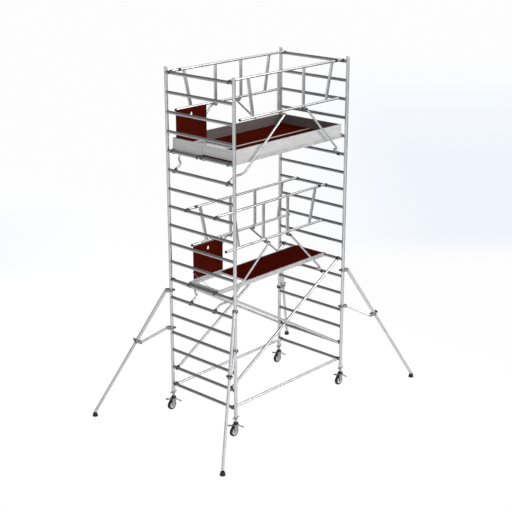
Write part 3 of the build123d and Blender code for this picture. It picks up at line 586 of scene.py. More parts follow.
@dataclass(frozen=True)
class CastMetal(Finish):
    """Die-cast or forged fitting: fine pebbled skin with rubbed high spots."""

    rubbed: Colour = (0.40, 0.40, 0.41)
    pebble: float = 420.0

    def surface(self, graph: Graph) -> dict[str, Any]:
        """Pebbled skin, uneven tone and rubbed patches.

        Args:
            graph: Graph to build in.

        Returns:
            Socket names with their fields or values.
        """
        pebble = graph.noise(graph.place(), self.pebble, 3.0, 0.6)
        cloud = graph.noise(graph.place(), 26.0, 4.0, 0.6)
        rub = cloud.rise(0.60, 0.76)
        colour = graph.blend(pebble.rise(0.35, 0.65), shade(self.colour, 0.8), self.colour)
        colour = graph.blend(rub * 0.45, colour, self.rubbed)
        rough = self.roughness + (pebble - 0.5) * 0.18 - rub * 0.10
        return graph.skin(colour, rough, pebble, 0.25, 0.0005)


@dataclass(frozen=True)
class MouldedPlastic(Finish):
    """Moulded plastic or rubber: spark-eroded grain with dusty patches."""

    dust: float = 0.25
    grain: float = 700.0

    def surface(self, graph: Graph) -> dict[str, Any]:
        """Fine grain and grey dust in patches.

        Args:
            graph: Graph to build in.

        Returns:
            Socket names with their fields or values.
        """
        grain = graph.noise(graph.place(), self.grain, 2.0, 0.6)
        cloud = graph.noise(graph.place(), 18.0, 5.0, 0.62)
        dusty = cloud.rise(0.50, 0.78) * self.dust
        colour = graph.blend(dusty, self.colour, (0.20, 0.195, 0.185))
        rough = self.roughness + (grain - 0.5) * 0.16 + dusty * 0.2
        return graph.skin(colour, rough, grain, 0.2, 0.0004)


@dataclass(frozen=True)
class ZincPlate(Finish):
    """Bright zinc plating with a faint spangle and darker stains."""

    spangle: float = 90.0

    def surface(self, graph: Graph) -> dict[str, Any]:
        """Cells of slightly different tone, and stains.

        Args:
            graph: Graph to build in.

        Returns:
            Socket names with their fields or values.
        """
        cell = graph.node("ShaderNodeTexVoronoi", {"feature": "F1"},
                          {"Vector": graph.place(), "Scale": self.spangle}, out="Color")
        tone, _, _ = graph.split(cell)
        stain = graph.noise(graph.place(), 22.0, 5.0, 0.6)
        dark = shade(self.colour, 0.78)
        colour = graph.blend(tone * 0.5, self.colour, dark)
        colour = graph.blend(stain.rise(0.55, 0.8) * 0.4, colour, shade(self.colour, 0.55))
        rough = self.roughness + (tone - 0.5) * 0.10 + (stain - 0.5) * 0.2
        return graph.skin(colour, rough, stain, 0.06, 0.0006)


@dataclass(frozen=True)
class TippedPedal(Finish):
    """Moulded brake pedal with a red band on its raised arm."""

    band: Colour = (0.45, 0.12, 0.10)
    band_low: float = 0.186
    band_high: float = 0.200

    def surface(self, graph: Graph) -> dict[str, Any]:
        """Grain, dust and the red band.

        Args:
            graph: Graph to build in.

        Returns:
            Socket names with their fields or values.
        """
        _, _, up = graph.split(graph.place())
        grain = graph.noise(graph.place(), 600.0, 2.0, 0.6)
        cloud = graph.noise(graph.place(), 24.0, 4.0, 0.6)
        ring = up.rise(self.band_low, self.band_low + 0.002)
        ring = ring * (1.0 - up.rise(self.band_high, self.band_high + 0.002))
        colour = graph.blend(ring, self.colour, self.band)
        colour = graph.blend(cloud.rise(0.5, 0.8) * 0.2, colour, (0.22, 0.21, 0.20))
        rough = self.roughness + (grain - 0.5) * 0.2
        return graph.skin(colour, rough, grain, 0.2, 0.0004)


ALUMINIUM_UP = DrawnAluminium("aluminium tube upright", (0.89, 0.89, 0.895), 0.30, 0.95, grain=Axis.UP)
ALUMINIUM_ALONG = DrawnAluminium("aluminium tube along", (0.85, 0.85, 0.855), 0.26, 0.96,
                                 grain=Axis.ALONG)
ALUMINIUM_BEAM = DeckAlloy("aluminium beam", (0.82, 0.82, 0.82), 0.42, 0.55, grain=Axis.ALONG)
RUNG_TUBE = RibbedRung("ribbed rung tube", (0.70, 0.70, 0.705), 0.38, 0.70)
DECK_PLY = FilmedPly("dark red filmed ply", (0.076, 0.0036, 0.0002), 0.78, 0.0, 0.012)
CAST_PALE = CastMetal("pale cast fitting", (0.46, 0.46, 0.47), 0.40, 0.80, rubbed=(0.62, 0.62, 0.62))
CAST_GREY = CastMetal("grey cast fitting", (0.17, 0.17, 0.175), 0.45, 0.65, rubbed=(0.40, 0.40, 0.40))
BLACK_PLASTIC = MouldedPlastic("black moulded plastic", (0.012, 0.012, 0.013), 0.48)
WHITE_PLASTIC = MouldedPlastic("white moulded cap", (0.74, 0.74, 0.74), 0.45, dust=0.10)
TYRE_RUBBER = MouldedPlastic("black tyre rubber", (0.016, 0.016, 0.017), 0.70, dust=0.35)
HUB_PLASTIC = MouldedPlastic("pale hub nylon", (0.66, 0.66, 0.66), 0.40, dust=0.08)
ZINC = ZincPlate("zinc plate", (0.56, 0.56, 0.57), 0.34, 0.90)
FORK_PAINT = CastMetal("grey fork steel", (0.42, 0.42, 0.425), 0.42, 0.40)
PEDAL = TippedPedal("brake pedal", (0.17, 0.17, 0.172), 0.45)


# ------------------------------------------------------------------ mesh building
class Shape:
    """Collects closed shells and turns them into one mesh object."""

    def __init__(self) -> None:
        """Start empty."""
        self.points: list[Vector] = []
        self.faces: list[tuple[int, ...]] = []

    def ring(self, outline: Iterable[Vector]) -> list[int]:
        """Add a loop of points.

        Args:
            outline: Points in order round the loop.

        Returns:
            Their numbers.
        """
        start = len(self.points)
        self.points.extend(Vector(p) for p in outline)
        return list(range(start, len(self.points)))

    def wall(self, first: Sequence[int], second: Sequence[int]) -> None:
        """Join two loops of the same length by quads."""
        for a, b, c, d in zip(first, (*first[1:], first[0]), (*second[1:], second[0]), second):
            self.faces.append((a, b, c, d))

    def closed(self, loops: Sequence[Sequence[int]]) -> None:
        """Join a row of loops by walls and close both ends.

        Args:
            loops: Loops of the same length, in order.
        """
        for first, second in zip(loops, loops[1:]):
            self.wall(first, second)
        self.faces.extend((tuple(loops[0]), tuple(loops[-1])))

    @staticmethod
    def square_to(way: Vector) -> tuple[Vector, Vector]:
        """Two unit vectors square to a direction and to each other.

        Args:
            way: Unit vector of the direction.

        Returns:
            Both unit vectors.
        """
        helper = Vector(Z_WAY) if abs(way.z) < 0.9 else Vector(X_WAY)
        side = way.cross(helper).normalized()
        return side, way.cross(side).normalized()

    def circle(self, centre: Vector, way: Vector, radius: float, count: int,
               flatten: float = 1.0, flat_way: Optional[Vector] = None) -> list[int]:
        """Add a round or flattened loop square to a direction.

        Args:
            centre: Middle of the loop.
            way: Direction the loop is square to.
            radius: Its radius.
            count: Number of points.
            flatten: Share of the radius left along flat_way.
            flat_way: Direction in which the loop is flattened.

        Returns:
            Numbers of the points.
        """
        if flat_way is None:
            side, up = self.square_to(way)
        else:
            up = (flat_way - way * flat_way.dot(way)).normalized()
            side = up.cross(way).normalized()
        wide = radius * (1 + (1 - flatten) * 0.45)
        return self.ring(
            centre + side * (math.cos(2 * math.pi * i / count) * wide)
            + up * (math.sin(2 * math.pi * i / count) * radius * flatten)
            for i in range(count)
        )

    def turned(self, origin: Point, axis: Point, profile: Outline, count: int = 32) -> None:
        """Add a solid turned about an axis.

        Args:
            origin: Point that distances along the axis are measured from.
            axis: Direction of the axis.
            profile: Distance along the axis and radius, from one end to the other.
            count: Number of points round each loop.
        """
        start, way = Vector(origin), Vector(axis).normalized()
        self.closed([self.circle(start + way * d, way, max(r, LEAST_RADIUS), count)
                     for d, r in profile])

    def tube(self, start: Point, end: Point, radius: float, wall: float, count: int = 36) -> None:
        """Add an open tube with broken edges.

        Args:
            start: Middle of one end.
            end: Middle of the other end.
            radius: Outer radius.
            wall: Thickness of the wall.
            count: Number of points round it.
        """
        a, b = Vector(start), Vector(end)
        way = (b - a).normalized()
        edge = min(BROKEN_EDGE, wall * 0.35)
        inner = radius - wall
        loops = [self.circle(spot, way, r, count) for spot, r in (
            (a, inner + edge), (a, radius - edge), (a + way * edge, radius),
            (b - way * edge, radius), (b, radius - edge), (b, inner + edge),
            (b - way * edge, inner), (a + way * edge, inner))]
        for first, second in zip(loops, loops[1:] + loops[:1]):
            self.wall(first, second)

    def rod(self, start: Point, end: Point, radius: float, count: int = 24,
            edge: float = 0.0008) -> None:
        """Add a solid round bar with broken edges.

        Args:
            start: Middle of one end.
            end: Middle of the other end.
            radius: Its radius.
            count: Number of points round it.
            edge: Width of the broken edges.
        """
        a, b = Vector(start), Vector(end)
        length = (b - a).length
        edge = min(edge, length * 0.3, radius * 0.5)
        self.turned(a, b - a, ((0, radius - edge), (edge, radius), (length - edge, radius),
                               (length, radius - edge)), count)

    def swept(self, route: Sequence[Vector], radius: float, count: int = 28,
              flats: Sequence[float] = (), flat_way: Optional[Vector] = None) -> None:
        """Add a bar that follows a route.

        Args:
            route: Points along the middle of the bar.
            radius: Its radius.
            count: Number of points round it.
            flats: Share of the radius left along flat_way at each point, or nothing.
            flat_way: Direction in which it is flattened.
        """
        loops: list[list[int]] = []
        side: Optional[Vector] = None
        turns = [2 * math.pi * k / count for k in range(count)]
        for i, centre in enumerate(route):
            way = (route[min(i + 1, len(route) - 1)] - route[max(i - 1, 0)]).normalized()
            if flats and flat_way is not None:
                loops.append(self.circle(centre, way, radius, count, flats[i], flat_way))
                continue
            if side is None:
                side, _ = self.square_to(way)
            side = (side - way * side.dot(way)).normalized()
            up = way.cross(side)
            loops.append(self.ring(centre + side * (math.cos(t) * radius)
                                   + up * (math.sin(t) * radius) for t in turns))
        self.closed(loops)

    def plate(self, outline: Outline, origin: Point, across: Point, up: Point,
              depth: float) -> None:
        """Add a flat plate or prism, centred on its plane.

        Args:
            outline: Corners in the plane, as distances across and up.
            origin: Point that the distances are measured from.
            across: Direction of the first distance.
            up: Direction of the second distance.
            depth: Thickness, half of it on each side of the plane.
        """
        u, v = Vector(across).normalized(), Vector(up).normalized()
        w = u.cross(v)
        base = Vector(origin)
        self.closed([
            self.ring(base + u * a + v * b - w * (depth / 2) for a, b in outline),
            self.ring(base + u * a + v * b + w * (depth / 2) for a, b in outline)])

    def moved(self, matrix: Matrix) -> "Shape":
        """Copy of the shape moved by a matrix.

        Args:
            matrix: Matrix that moves the points.

        Returns:
            The moved copy.
        """
        other = Shape()
        other.points = [matrix @ p for p in self.points]
        other.faces = list(self.faces)
        return other

    def joined(self, other: "Shape") -> None:
        """Take in another shape.

        Args:
            other: Shape that is taken in.
        """
        shift = len(self.points)
        self.points.extend(other.points)
        self.faces.extend(tuple(i + shift for i in f) for f in other.faces)

    def piece(self, name: str, finish: Finish, bevel: float = 0.0,
              angle: float = 32.0) -> bpy.types.Object:
        """Make the object.

        Args:
            name: Name of the object.
            finish: Its finish.
            bevel: Width of the rounding along sharp edges, or 0.
            angle: Edges sharper than this, in degrees, stay crisp or are rounded.

        Returns:
            The new object, at the origin.
        """
        mesh = bpy.data.meshes.new(name)
        mesh.from_pydata([tuple(p) for p in self.points], [], self.faces)
        mended(mesh, bevel, math.radians(angle))
        mesh.materials.append(finish.material())
        mesh.shade_smooth()
        mesh.set_sharp_from_angle(angle=math.radians(angle))
        return placed(name, mesh)


def placed(name: str, data: Any) -> bpy.types.Object:
    """Put a new object with its data in the scene.

    Args:
        name: Name of the object.
        data: Its mesh, lamp or camera.

    Returns:
        The new object.
    """
    made = bpy.data.objects.new(name, data)
    bpy.context.scene.collection.objects.link(made)
    return made


def mended(mesh: bpy.types.Mesh, bevel: float = 0.0, angle: float = 0.0) -> None:
    """Turn all faces of a mesh outwards and round its sharp edges.

    Args:
        mesh: Mesh to mend.
        bevel: Width of the rounding, or 0 for none.
        angle: Edges sharper than this, in radians, are rounded.
    """
    work = bmesh.new()
    work.from_mesh(mesh)
    bmesh.ops.recalc_face_normals(work, faces=work.faces)
    if bevel > 0:
        sharp = [e for e in work.edges if len(e.link_faces) == 2 and e.calc_face_angle(0.0) > angle]
        bmesh.ops.bevel(work, geom=sharp, offset=bevel, segments=2, profile=0.6,
                        affect="EDGES", clamp_overlap=True)
    work.to_mesh(mesh)
    work.free()


def bend(before: Vector, here: Vector, after: Vector, radius: float, steps: int) -> list[Vector]:
    """Points of the smooth bend that takes the place of one corner.

    Args:
        before: Point before the corner.
        here: The corner.
        after: Point after it.
        radius: How far from the corner the bend starts, cut down where a side is short.
        steps: Number of steps on the bend.

    Returns:
        The points, in order.
    """
    a, b = before - here, after - here
    reach = min(radius, a.length * LONGEST_BEND, b.length * LONGEST_BEND)
    p, q = here + a.normalized() * reach, here + b.normalized() * reach
    shares = [k / steps for k in range(steps + 1)]
    return [p * (1 - t) ** 2 + here * (2 * t * (1 - t)) + q * t ** 2 for t in shares]


def rounded(corners: Outline, radius: float, steps: int = 5) -> list[tuple[float, float]]:
    """Round the corners of an outline.

    Args:
        corners: Corners in order.
        radius: Radius wanted at each.
        steps: Number of steps on each rounded corner.

    Returns:
        The rounded outline.
    """
    out: list[tuple[float, float]] = []
    for i in range(len(corners)):
        three = (Vector((*corners[(i + k) % len(corners)], 0.0)) for k in (-1, 0, 1))
        out.extend((spot.x, spot.y) for spot in bend(*three, radius, steps))
    return out


def eased(route: Sequence[Vector], radius: float, steps: int = 8) -> list[Vector]:
    """Round the corners of a route.

    Args:
        route: Corner points of the route.
        radius: How far from a corner its bend starts.
        steps: Number of steps on each bend.

    Returns:
        The smooth route, with its ends kept.
    """
    out = [Vector(route[0])]
    for three in zip(route, route[1:], route[2:]):
        out.extend(bend(*(Vector(p) for p in three), radius, steps))
    return out + [Vector(route[-1])]


def arc(radius: float, angles: Iterable[int], x: float = 0.0, z: float = 0.0) -> list[tuple[float, float]]:
    """Points of an arc round a centre, at angles in degrees."""
    turns = [math.radians(a) for a in angles]
    return [(x + radius * math.cos(t), z + radius * math.sin(t)) for t in turns]


def hung(spot: Point, flip: int, lean: float = 0.0) -> Matrix:
    """Place of a claw on its rung, with its neck turned to one side and leant upwards."""
    return (Matrix.Translation(spot) @ Matrix.Diagonal((flip, 1, 1, 1))
            @ Matrix.Rotation(-lean, 4, "Y"))


# ------------------------------------------------------------------ repeated pieces
class Repeater:
    """Geometry Nodes tree with named inputs that ends in plain, dressed geometry."""

    def __init__(self, name: str, inputs: dict[str, float]) -> None:
        """Start a tree.

        Args:
            name: Name of the tree.
            inputs: Named sizes, with their defaults.
        """
        self.tree = bpy.data.node_groups.new(name, "GeometryNodeTree")
        face = self.tree.interface
        face.new_socket("Geometry", in_out="INPUT", socket_type="NodeSocketGeometry")
        self.keys: dict[str, str] = {}
        for label, value in inputs.items():
            whole = isinstance(value, int)
            kind = "NodeSocketInt" if whole else "NodeSocketFloat"
            made = face.new_socket(label, in_out="INPUT", socket_type=kind)
            made.default_value = value
            self.keys[label] = made.identifier
        finish = face.new_socket("Finish", in_out="INPUT", socket_type="NodeSocketMaterial")
        self.keys["Finish"] = finish.identifier
        face.new_socket("Geometry", in_out="OUTPUT", socket_type="NodeSocketGeometry")
        self.entry = self.tree.nodes.new("NodeGroupInput")
        self.exit = self.tree.nodes.new("NodeGroupOutput")

    def value(self, label: str) -> bpy.types.NodeSocket:
        """Socket of a named input."""
        return self.entry.outputs[label]

    def node(self, kind: str, settings: Optional[dict[str, Any]] = None,
             inputs: Optional[dict[Any, Any]] = None) -> bpy.types.NodeSocket:
        """Add any node.

        Args:
            kind: Blender's type name of the node.
            settings: Properties to set first.
            inputs: Values, sockets or a list of sockets, by socket name or number.

        Returns:
            The node's first output.
        """
        made = self.tree.nodes.new(kind)
        for key, value in (settings or {}).items():
            setattr(made, key, value)
        for key, value in (inputs or {}).items():
            for one in value if isinstance(value, list) else [value]:
                if isinstance(one, bpy.types.NodeSocket):
                    self.tree.links.new(one, made.inputs[key])
                else:
                    made.inputs[key].default_value = one
        return made.outputs[0]

    def maths(self, operation: str, *terms: Any) -> bpy.types.NodeSocket:
        """Result of one Math node."""
        return self.node("ShaderNodeMath", {"operation": operation}, dict(enumerate(terms)))

    def vector(self, **axes: Any) -> bpy.types.NodeSocket:
        """Vector from the axes that are given."""
        return self.node("ShaderNodeCombineXYZ", {}, axes)

    def hoop(self, radius: Any, count: Any) -> bpy.types.NodeSocket:
        """Circular curve with a number of points."""
        return self.node("GeometryNodeCurvePrimitiveCircle", {}, {"Resolution": count, "Radius": radius})

    def swept(self, curve: Any, profile: Any, caps: bool = False) -> bpy.types.NodeSocket:
        """Mesh of a profile that is swept along a curve."""
        return self.node("GeometryNodeCurveToMesh", {},
                         {"Curve": curve, "Profile Curve": profile, "Fill Caps": caps})

    def scattered(self, points: Any, instance: Any, **more: Any) -> bpy.types.NodeSocket:
        """Copies of a geometry on points."""
        return self.node("GeometryNodeInstanceOnPoints", {},
                         {"Points": points, "Instance": instance, **more})

    def close(self, geometry: bpy.types.NodeSocket) -> None:
        """End the tree in Realize Instances, smooth shading and Set Material.

        Args:
            geometry: Geometry that the tree hands on.
        """
        for kind, more in (("GeometryNodeRealizeInstances", {}), ("GeometryNodeSetShadeSmooth", {}),
                           ("GeometryNodeSetMaterial", {"Material": self.value("Finish")})):
            geometry = self.node(kind, {}, {"Geometry": geometry, **more})
        self.tree.links.new(geometry, self.exit.inputs[0])

    def grow(self, name: str, finish: Finish, sizes: dict[str, float],
             seeds: Sequence[Point] = (), aims: Sequence[Point] = (),
             angle: float = 35.0) -> bpy.types.Object:
        """Run the tree and keep its result as a plain mesh.

        Args:
            name: Name of the new object.
            finish: Its finish.
            sizes: Values of the tree's named inputs.
            seeds: Points of the mesh that the tree starts from.
            aims: Direction for each point, kept as the attribute "aim".
            angle: Edges sharper than this, in degrees, stay crisp.

        Returns:
            The new object, at the origin.
        """
        start = bpy.data.meshes.new(name + "_seeds")
        start.from_pydata([tuple(p) for p in seeds] or [(0, 0, 0)], [], [])
        if aims:
            kept = start.attributes.new("aim", "FLOAT_VECTOR", "POINT")
            for i, aim in enumerate(aims):
                kept.data[i].vector = tuple(aim)
        host = placed(name + "_host", start)
        modifier = host.modifiers.new("grow", "NODES")
        modifier.node_group = self.tree
        for label, value in sizes.items():
            modifier[self.keys[label]] = value
        modifier[self.keys["Finish"]] = finish.material()
        bpy.context.view_layer.update()
        graph = bpy.context.evaluated_depsgraph_get()
        mesh = bpy.data.meshes.new_from_object(host.evaluated_get(graph))
        mesh.name = name
        bpy.data.objects.remove(host)
        mended(mesh)
        if not any(m == finish.material() for m in mesh.materials):
            mesh.materials.append(finish.material())
        mesh.set_sharp_from_angle(angle=math.radians(angle))
        return placed(name, mesh)


@cache
def rung_tree() -> Repeater:
    """Tree that repeats a ribbed rung with a weld bead round each end.

    Returns:
        The tree.
    """
    made = Repeater("rung run", {"Half Length": 0.647, "Radius": 0.0225, "Ribs": 24, "Rib Depth": 0.0005,
                                 "Pitch": 0.28, "Count": 7, "Weld At": 0.631, "Weld Radius": 0.0255,
                                 "Bead": 0.0028})
    node, value, maths, vector = made.node, made.value, made.maths, made.vector
    half = value("Half Length")
    line = node("GeometryNodeCurvePrimitiveLine", {},
                {"Start": vector(Y=maths("MULTIPLY", half, -1.0)), "End": vector(Y=half)})
    circle = made.hoop(value("Radius"), maths("MULTIPLY", value("Ribs"), 4.0))
    ripple = maths("COSINE", maths("MULTIPLY", node("GeometryNodeInputIndex"), math.pi / 2))
    outward = node("ShaderNodeVectorMath", {"operation": "NORMALIZE"},
                   {0: node("GeometryNodeInputPosition")})
    shift = node("ShaderNodeVectorMath", {"operation": "SCALE"},
                 {0: outward, "Scale": maths("MULTIPLY", ripple, value("Rib Depth"))})
    ribbed = node("GeometryNodeSetPosition", {}, {"Geometry": circle, "Offset": shift})
    parts = [made.swept(line, ribbed, caps=True)]
    weld = made.swept(made.hoop(value("Weld Radius"), 32), made.hoop(value("Bead"), 8))
    for sign in (-1.0, 1.0):
        reach = vector(Y=maths("MULTIPLY", value("Weld At"), sign))
        parts.append(node("GeometryNodeTransform", {}, {
            "Geometry": weld, "Translation": reach, "Rotation": (math.pi / 2, 0.0, 0.0)}))
    whole = node("GeometryNodeJoinGeometry", {}, {0: parts})
    heights = node("GeometryNodeMeshLine", {"mode": "OFFSET"},
                   {"Count": value("Count"), "Offset": vector(Z=value("Pitch"))})
    run = node("GeometryNodeRealizeInstances", {},
               {"Geometry": made.scattered(made.entry.outputs[0], heights)})
    made.close(made.scattered(run, whole))
    return made


@cache
def rivet_tree() -> Repeater:
    """Tree that sets a domed head on each point, along the point's aim.

    Returns:
        The tree.
    """
    made = Repeater("rivet heads", {"Radius": 0.004, "Height": 0.0022})
    node, value = made.node, made.value
    ball = node("GeometryNodeMeshUVSphere", {}, {"Segments": 12, "Rings": 6, "Radius": 1.0})
    size = made.vector(X=value("Radius"), Y=value("Radius"), Z=value("Height"))
    head = node("GeometryNodeTransform", {}, {"Geometry": ball, "Scale": size})
    aim = node("GeometryNodeInputNamedAttribute", {"data_type": "FLOAT_VECTOR"}, {"Name": "aim"})
    turn = node("FunctionNodeAlignRotationToVector", {"axis": "Z"}, {"Vector": aim})
    made.close(made.scattered(made.entry.outputs[0], head, Rotation=turn))
    return made


@cache
def thread_tree() -> Repeater:
    """Tree that winds a screw thread up Z from the origin.

    Returns:
        The tree.
    """
    made = Repeater("screw thread", {"Radius": 0.019, "Pitch": 0.010, "Turns": 12.0, "Crest": 0.0026})
    value = made.value
    spiral = made.node("GeometryNodeCurveSpiral", {}, {
        "Resolution": 28, "Rotations": value("Turns"), "Start Radius": value("Radius"),
        "End Radius": value("Radius"), "Height": made.maths("MULTIPLY", value("Pitch"), value("Turns"))})
    wound = made.swept(spiral, made.hoop(value("Crest"), 6), caps=True)
    made.close(made.scattered(made.entry.outputs[0], wound))
    return made


# ------------------------------------------------------------------ the tower's grid
@dataclass
class Grid:
    """Where the uprights and rungs stand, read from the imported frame."""

    pitch: float = 0.280
    rung_counts: tuple[int, int, int] = (4, 7, 7)
    base_foot_to_rung: float = 0.125
    socket_to_rung: float = 0.140
    upright_radius: float = 0.025
    half_length: float = field(init=False)
    half_width: float = field(init=False)
    rungs: list[float] = field(init=False)

    def __post_init__(self) -> None:
        """Read the frames' boxes and list the rung heights from the lowest up."""
        low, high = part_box("frame_right_middle")
        self.half_length = (low.x + high.x) / 2
        self.half_width = high.y - self.upright_radius
        self.rungs = []
        for level, count in zip(LEVELS, self.rung_counts):
            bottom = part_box(f"frame_right_{level}")[0].z
            first = bottom + (self.base_foot_to_rung if level == "base" else self.socket_to_rung)
            self.rungs.extend(first + self.pitch * k for k in range(count))

    def rung(self, number: int) -> float:
        """Height of a rung, counted from 1 at the bottom."""
        return self.rungs[number - 1]

    def upright(self, corner: Corner) -> Vector:
        """Middle of an upright at ground level."""
        sx, sy = corner.value
        return Vector((sx * self.half_length, sy * self.half_width, 0.0))


class Assembly:
    """A sub-assembly: builds its pieces, sets them on their bodies and reports them."""

    def settle(self, piece: bpy.types.Object, body: str, slot: str, *nodes: str) -> bpy.types.Object:
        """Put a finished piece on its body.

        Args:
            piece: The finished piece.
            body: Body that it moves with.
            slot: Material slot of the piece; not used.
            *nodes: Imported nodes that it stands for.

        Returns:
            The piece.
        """
        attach(piece, body)
        if nodes:
            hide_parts(*nodes)
        LOG.info("%s: %d faces on %s", piece.name, len(piece.data.polygons), body)
        return piece

    def fit(self, shape: Shape, name: str, finish: Finish, bevel: float, *place: str) -> None:
        """Make a piece of a shape and put it on its body.

        Args:
            shape: Shape of the piece.
            name: Name of the piece.
            finish: Its finish.
            bevel: Width of the rounding along its sharp edges, or 0.
            *place: Body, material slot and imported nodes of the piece.
        """
        self.settle(shape.piece(name, finish, bevel), *place)

    def heads(self, name: str, size: tuple[float, float], spots: Aimed, *place: str) -> None:
        """Set a domed zinc head on each spot and put them on their body.

        Args:
            name: Name of the piece.
            size: Radius and height of a head.
            spots: Places of the heads, each with its direction.
            *place: Body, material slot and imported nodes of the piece.
        """
        sizes = dict(zip(("Radius", "Height"), size))
        self.settle(rivet_tree().grow(name, ZINC, sizes, *zip(*spots)), *place)

    def dress(self, node: str, finish: Finish) -> None:
        """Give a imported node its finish.

        Args:
            node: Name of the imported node.
            finish: Finish that it is given.
        """
        target = FRAME["nodes"][node]
        for slot in target.material_slots:
            slot.material = finish.material()
        if not target.material_slots:
            target.data.materials.append(finish.material())
        LOG.info("%s: %s", node, finish.name)

    def build(self) -> None:
        """Make and settle all pieces of the sub-assembly."""
        raise NotImplementedError


# ------------------------------------------------------------------ ladder frames
@dataclass
class LadderFrames(Assembly):
    """Six ladder frames: uprights with caps and sleeves, ribbed rungs and weld beads."""

    grid: Grid
    wall: float = 0.002
    spigot_half: float = 0.065
    spigot_radius: float = 0.0225
    rung_radius: float = 0.0226
    rung_half: float = 0.647
    rung_half_clear: float = 0.6352
    cap_height: float = 0.022
    cap_rise: float = 0.006
    sleeve_height: float = 0.080
    rivet_rise: float = 0.032
    sleeve_reach: float = 0.0282

    def uprights(self, side: str, level: str, sx: int) -> Shape:
        """Tubes of one frame.

        Args:
            side: "left" or "right".
            level: "base", "middle" or "top".
            sx: Sign of the frame's X.

        Returns:
            Both tubes with their stubs and sleeves.
        """
        low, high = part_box(f"frame_{side}_{level}")
        top = high.z - (self.cap_rise if level == "top" else self.spigot_half)
        shape = Shape()
        for sy in SIGNS:
            x, y = sx * self.grid.half_length, sy * self.grid.half_width
            shape.tube((x, y, low.z), (x, y, top), self.grid.upright_radius, self.wall, 40)
            if level != "top":
                shape.rod((x, y, top - self.spigot_half), (x, y, top + self.spigot_half),
                          self.spigot_radius, 32, 0.003)
            if level == "base":
                shape.turned((x, y, low.z), Z_WAY, (
                    (0.0, 0.0255), (0.0, 0.0272), (0.0012, 0.0284), (self.sleeve_height - 0.004, 0.0284),
                    (self.sleeve_height, 0.0262), (self.sleeve_height, 0.0250)), 40)
        return shape

    def caps(self, sx: int) -> Shape:
        """Moulded caps over the tops of one side's uprights.

        Args:
            sx: Sign of the side's X.

        Returns:
            Both caps.
        """
        shape = Shape()
        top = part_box("frame_left_top")[1].z
        for sy in SIGNS:
            at = (sx * self.grid.half_length, sy * self.grid.half_width, top - self.cap_height)
            shape.turned(at, Z_WAY, (
                (0.0, 0.0250), (0.0, 0.0278), (0.0015, 0.0284), (0.014, 0.0284), (0.0165, 0.0276),
                (0.0195, 0.0245), (0.0212, 0.019), (0.0219, 0.010), (0.0220, 0.001)), 40)
        return shape

    def pins(self, side: str, level: str, sx: int) -> Aimed:
        """Rivets that hold the stubs and the foot sleeves.

        Args:
            side: "left" or "right".
            level: "base", "middle" or "top".
            sx: Sign of the frame's X.

        Returns:
            Their places, each with its direction.
        """
        low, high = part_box(f"frame_{side}_{level}")
        heights = [] if level == "top" else [high.z - self.spigot_half - self.rivet_rise]
        if level == "base":
            heights.append(low.z + self.sleeve_height * 0.5)
        spots: Aimed = []
        for z in heights:
            reach = self.sleeve_reach if z < low.z + self.sleeve_height else self.grid.upright_radius
            spots += [((sx * self.grid.half_length + way * reach, sy * self.grid.half_width, z),
                       (way, 0, 0)) for sy in SIGNS for way in SIGNS]
        return spots

    def build(self) -> None:
        """Uprights, rungs, caps and rivets of every frame."""
        place = ("tower", "tube_aluminium")
        rungs = rung_tree()
        first = 0
        for level, count in zip(LEVELS, self.grid.rung_counts):
            for side, sx in HANDS:
                key, node = f"{side}_{level}", f"frame_{side}_{level}"
                self.fit(self.uprights(side, level, sx), f"uprights_{key}", ALUMINIUM_UP, 0.0,
                         *place, node)
                start = (sx * self.grid.half_length, 0.0, self.grid.rungs[first])
                sizes = {"Radius": self.rung_radius, "Pitch": self.grid.pitch, "Count": count,
                         "Half Length": self.rung_half_clear if level == "base" else self.rung_half}
                self.settle(rungs.grow(f"rungs_{key}", RUNG_TUBE, sizes, [start], angle=50.0),
                            *place, node)
                spots = self.pins(side, level, sx)
                if spots:
                    self.heads(f"stub_rivets_{key}", (0.0042, 0.0024), spots, *place)
            first += count
        for side, sx in HANDS:
            self.fit(self.caps(sx), f"upright_caps_{side}", WHITE_PLASTIC, 0.0, *place,
                     f"frame_{side}_top")


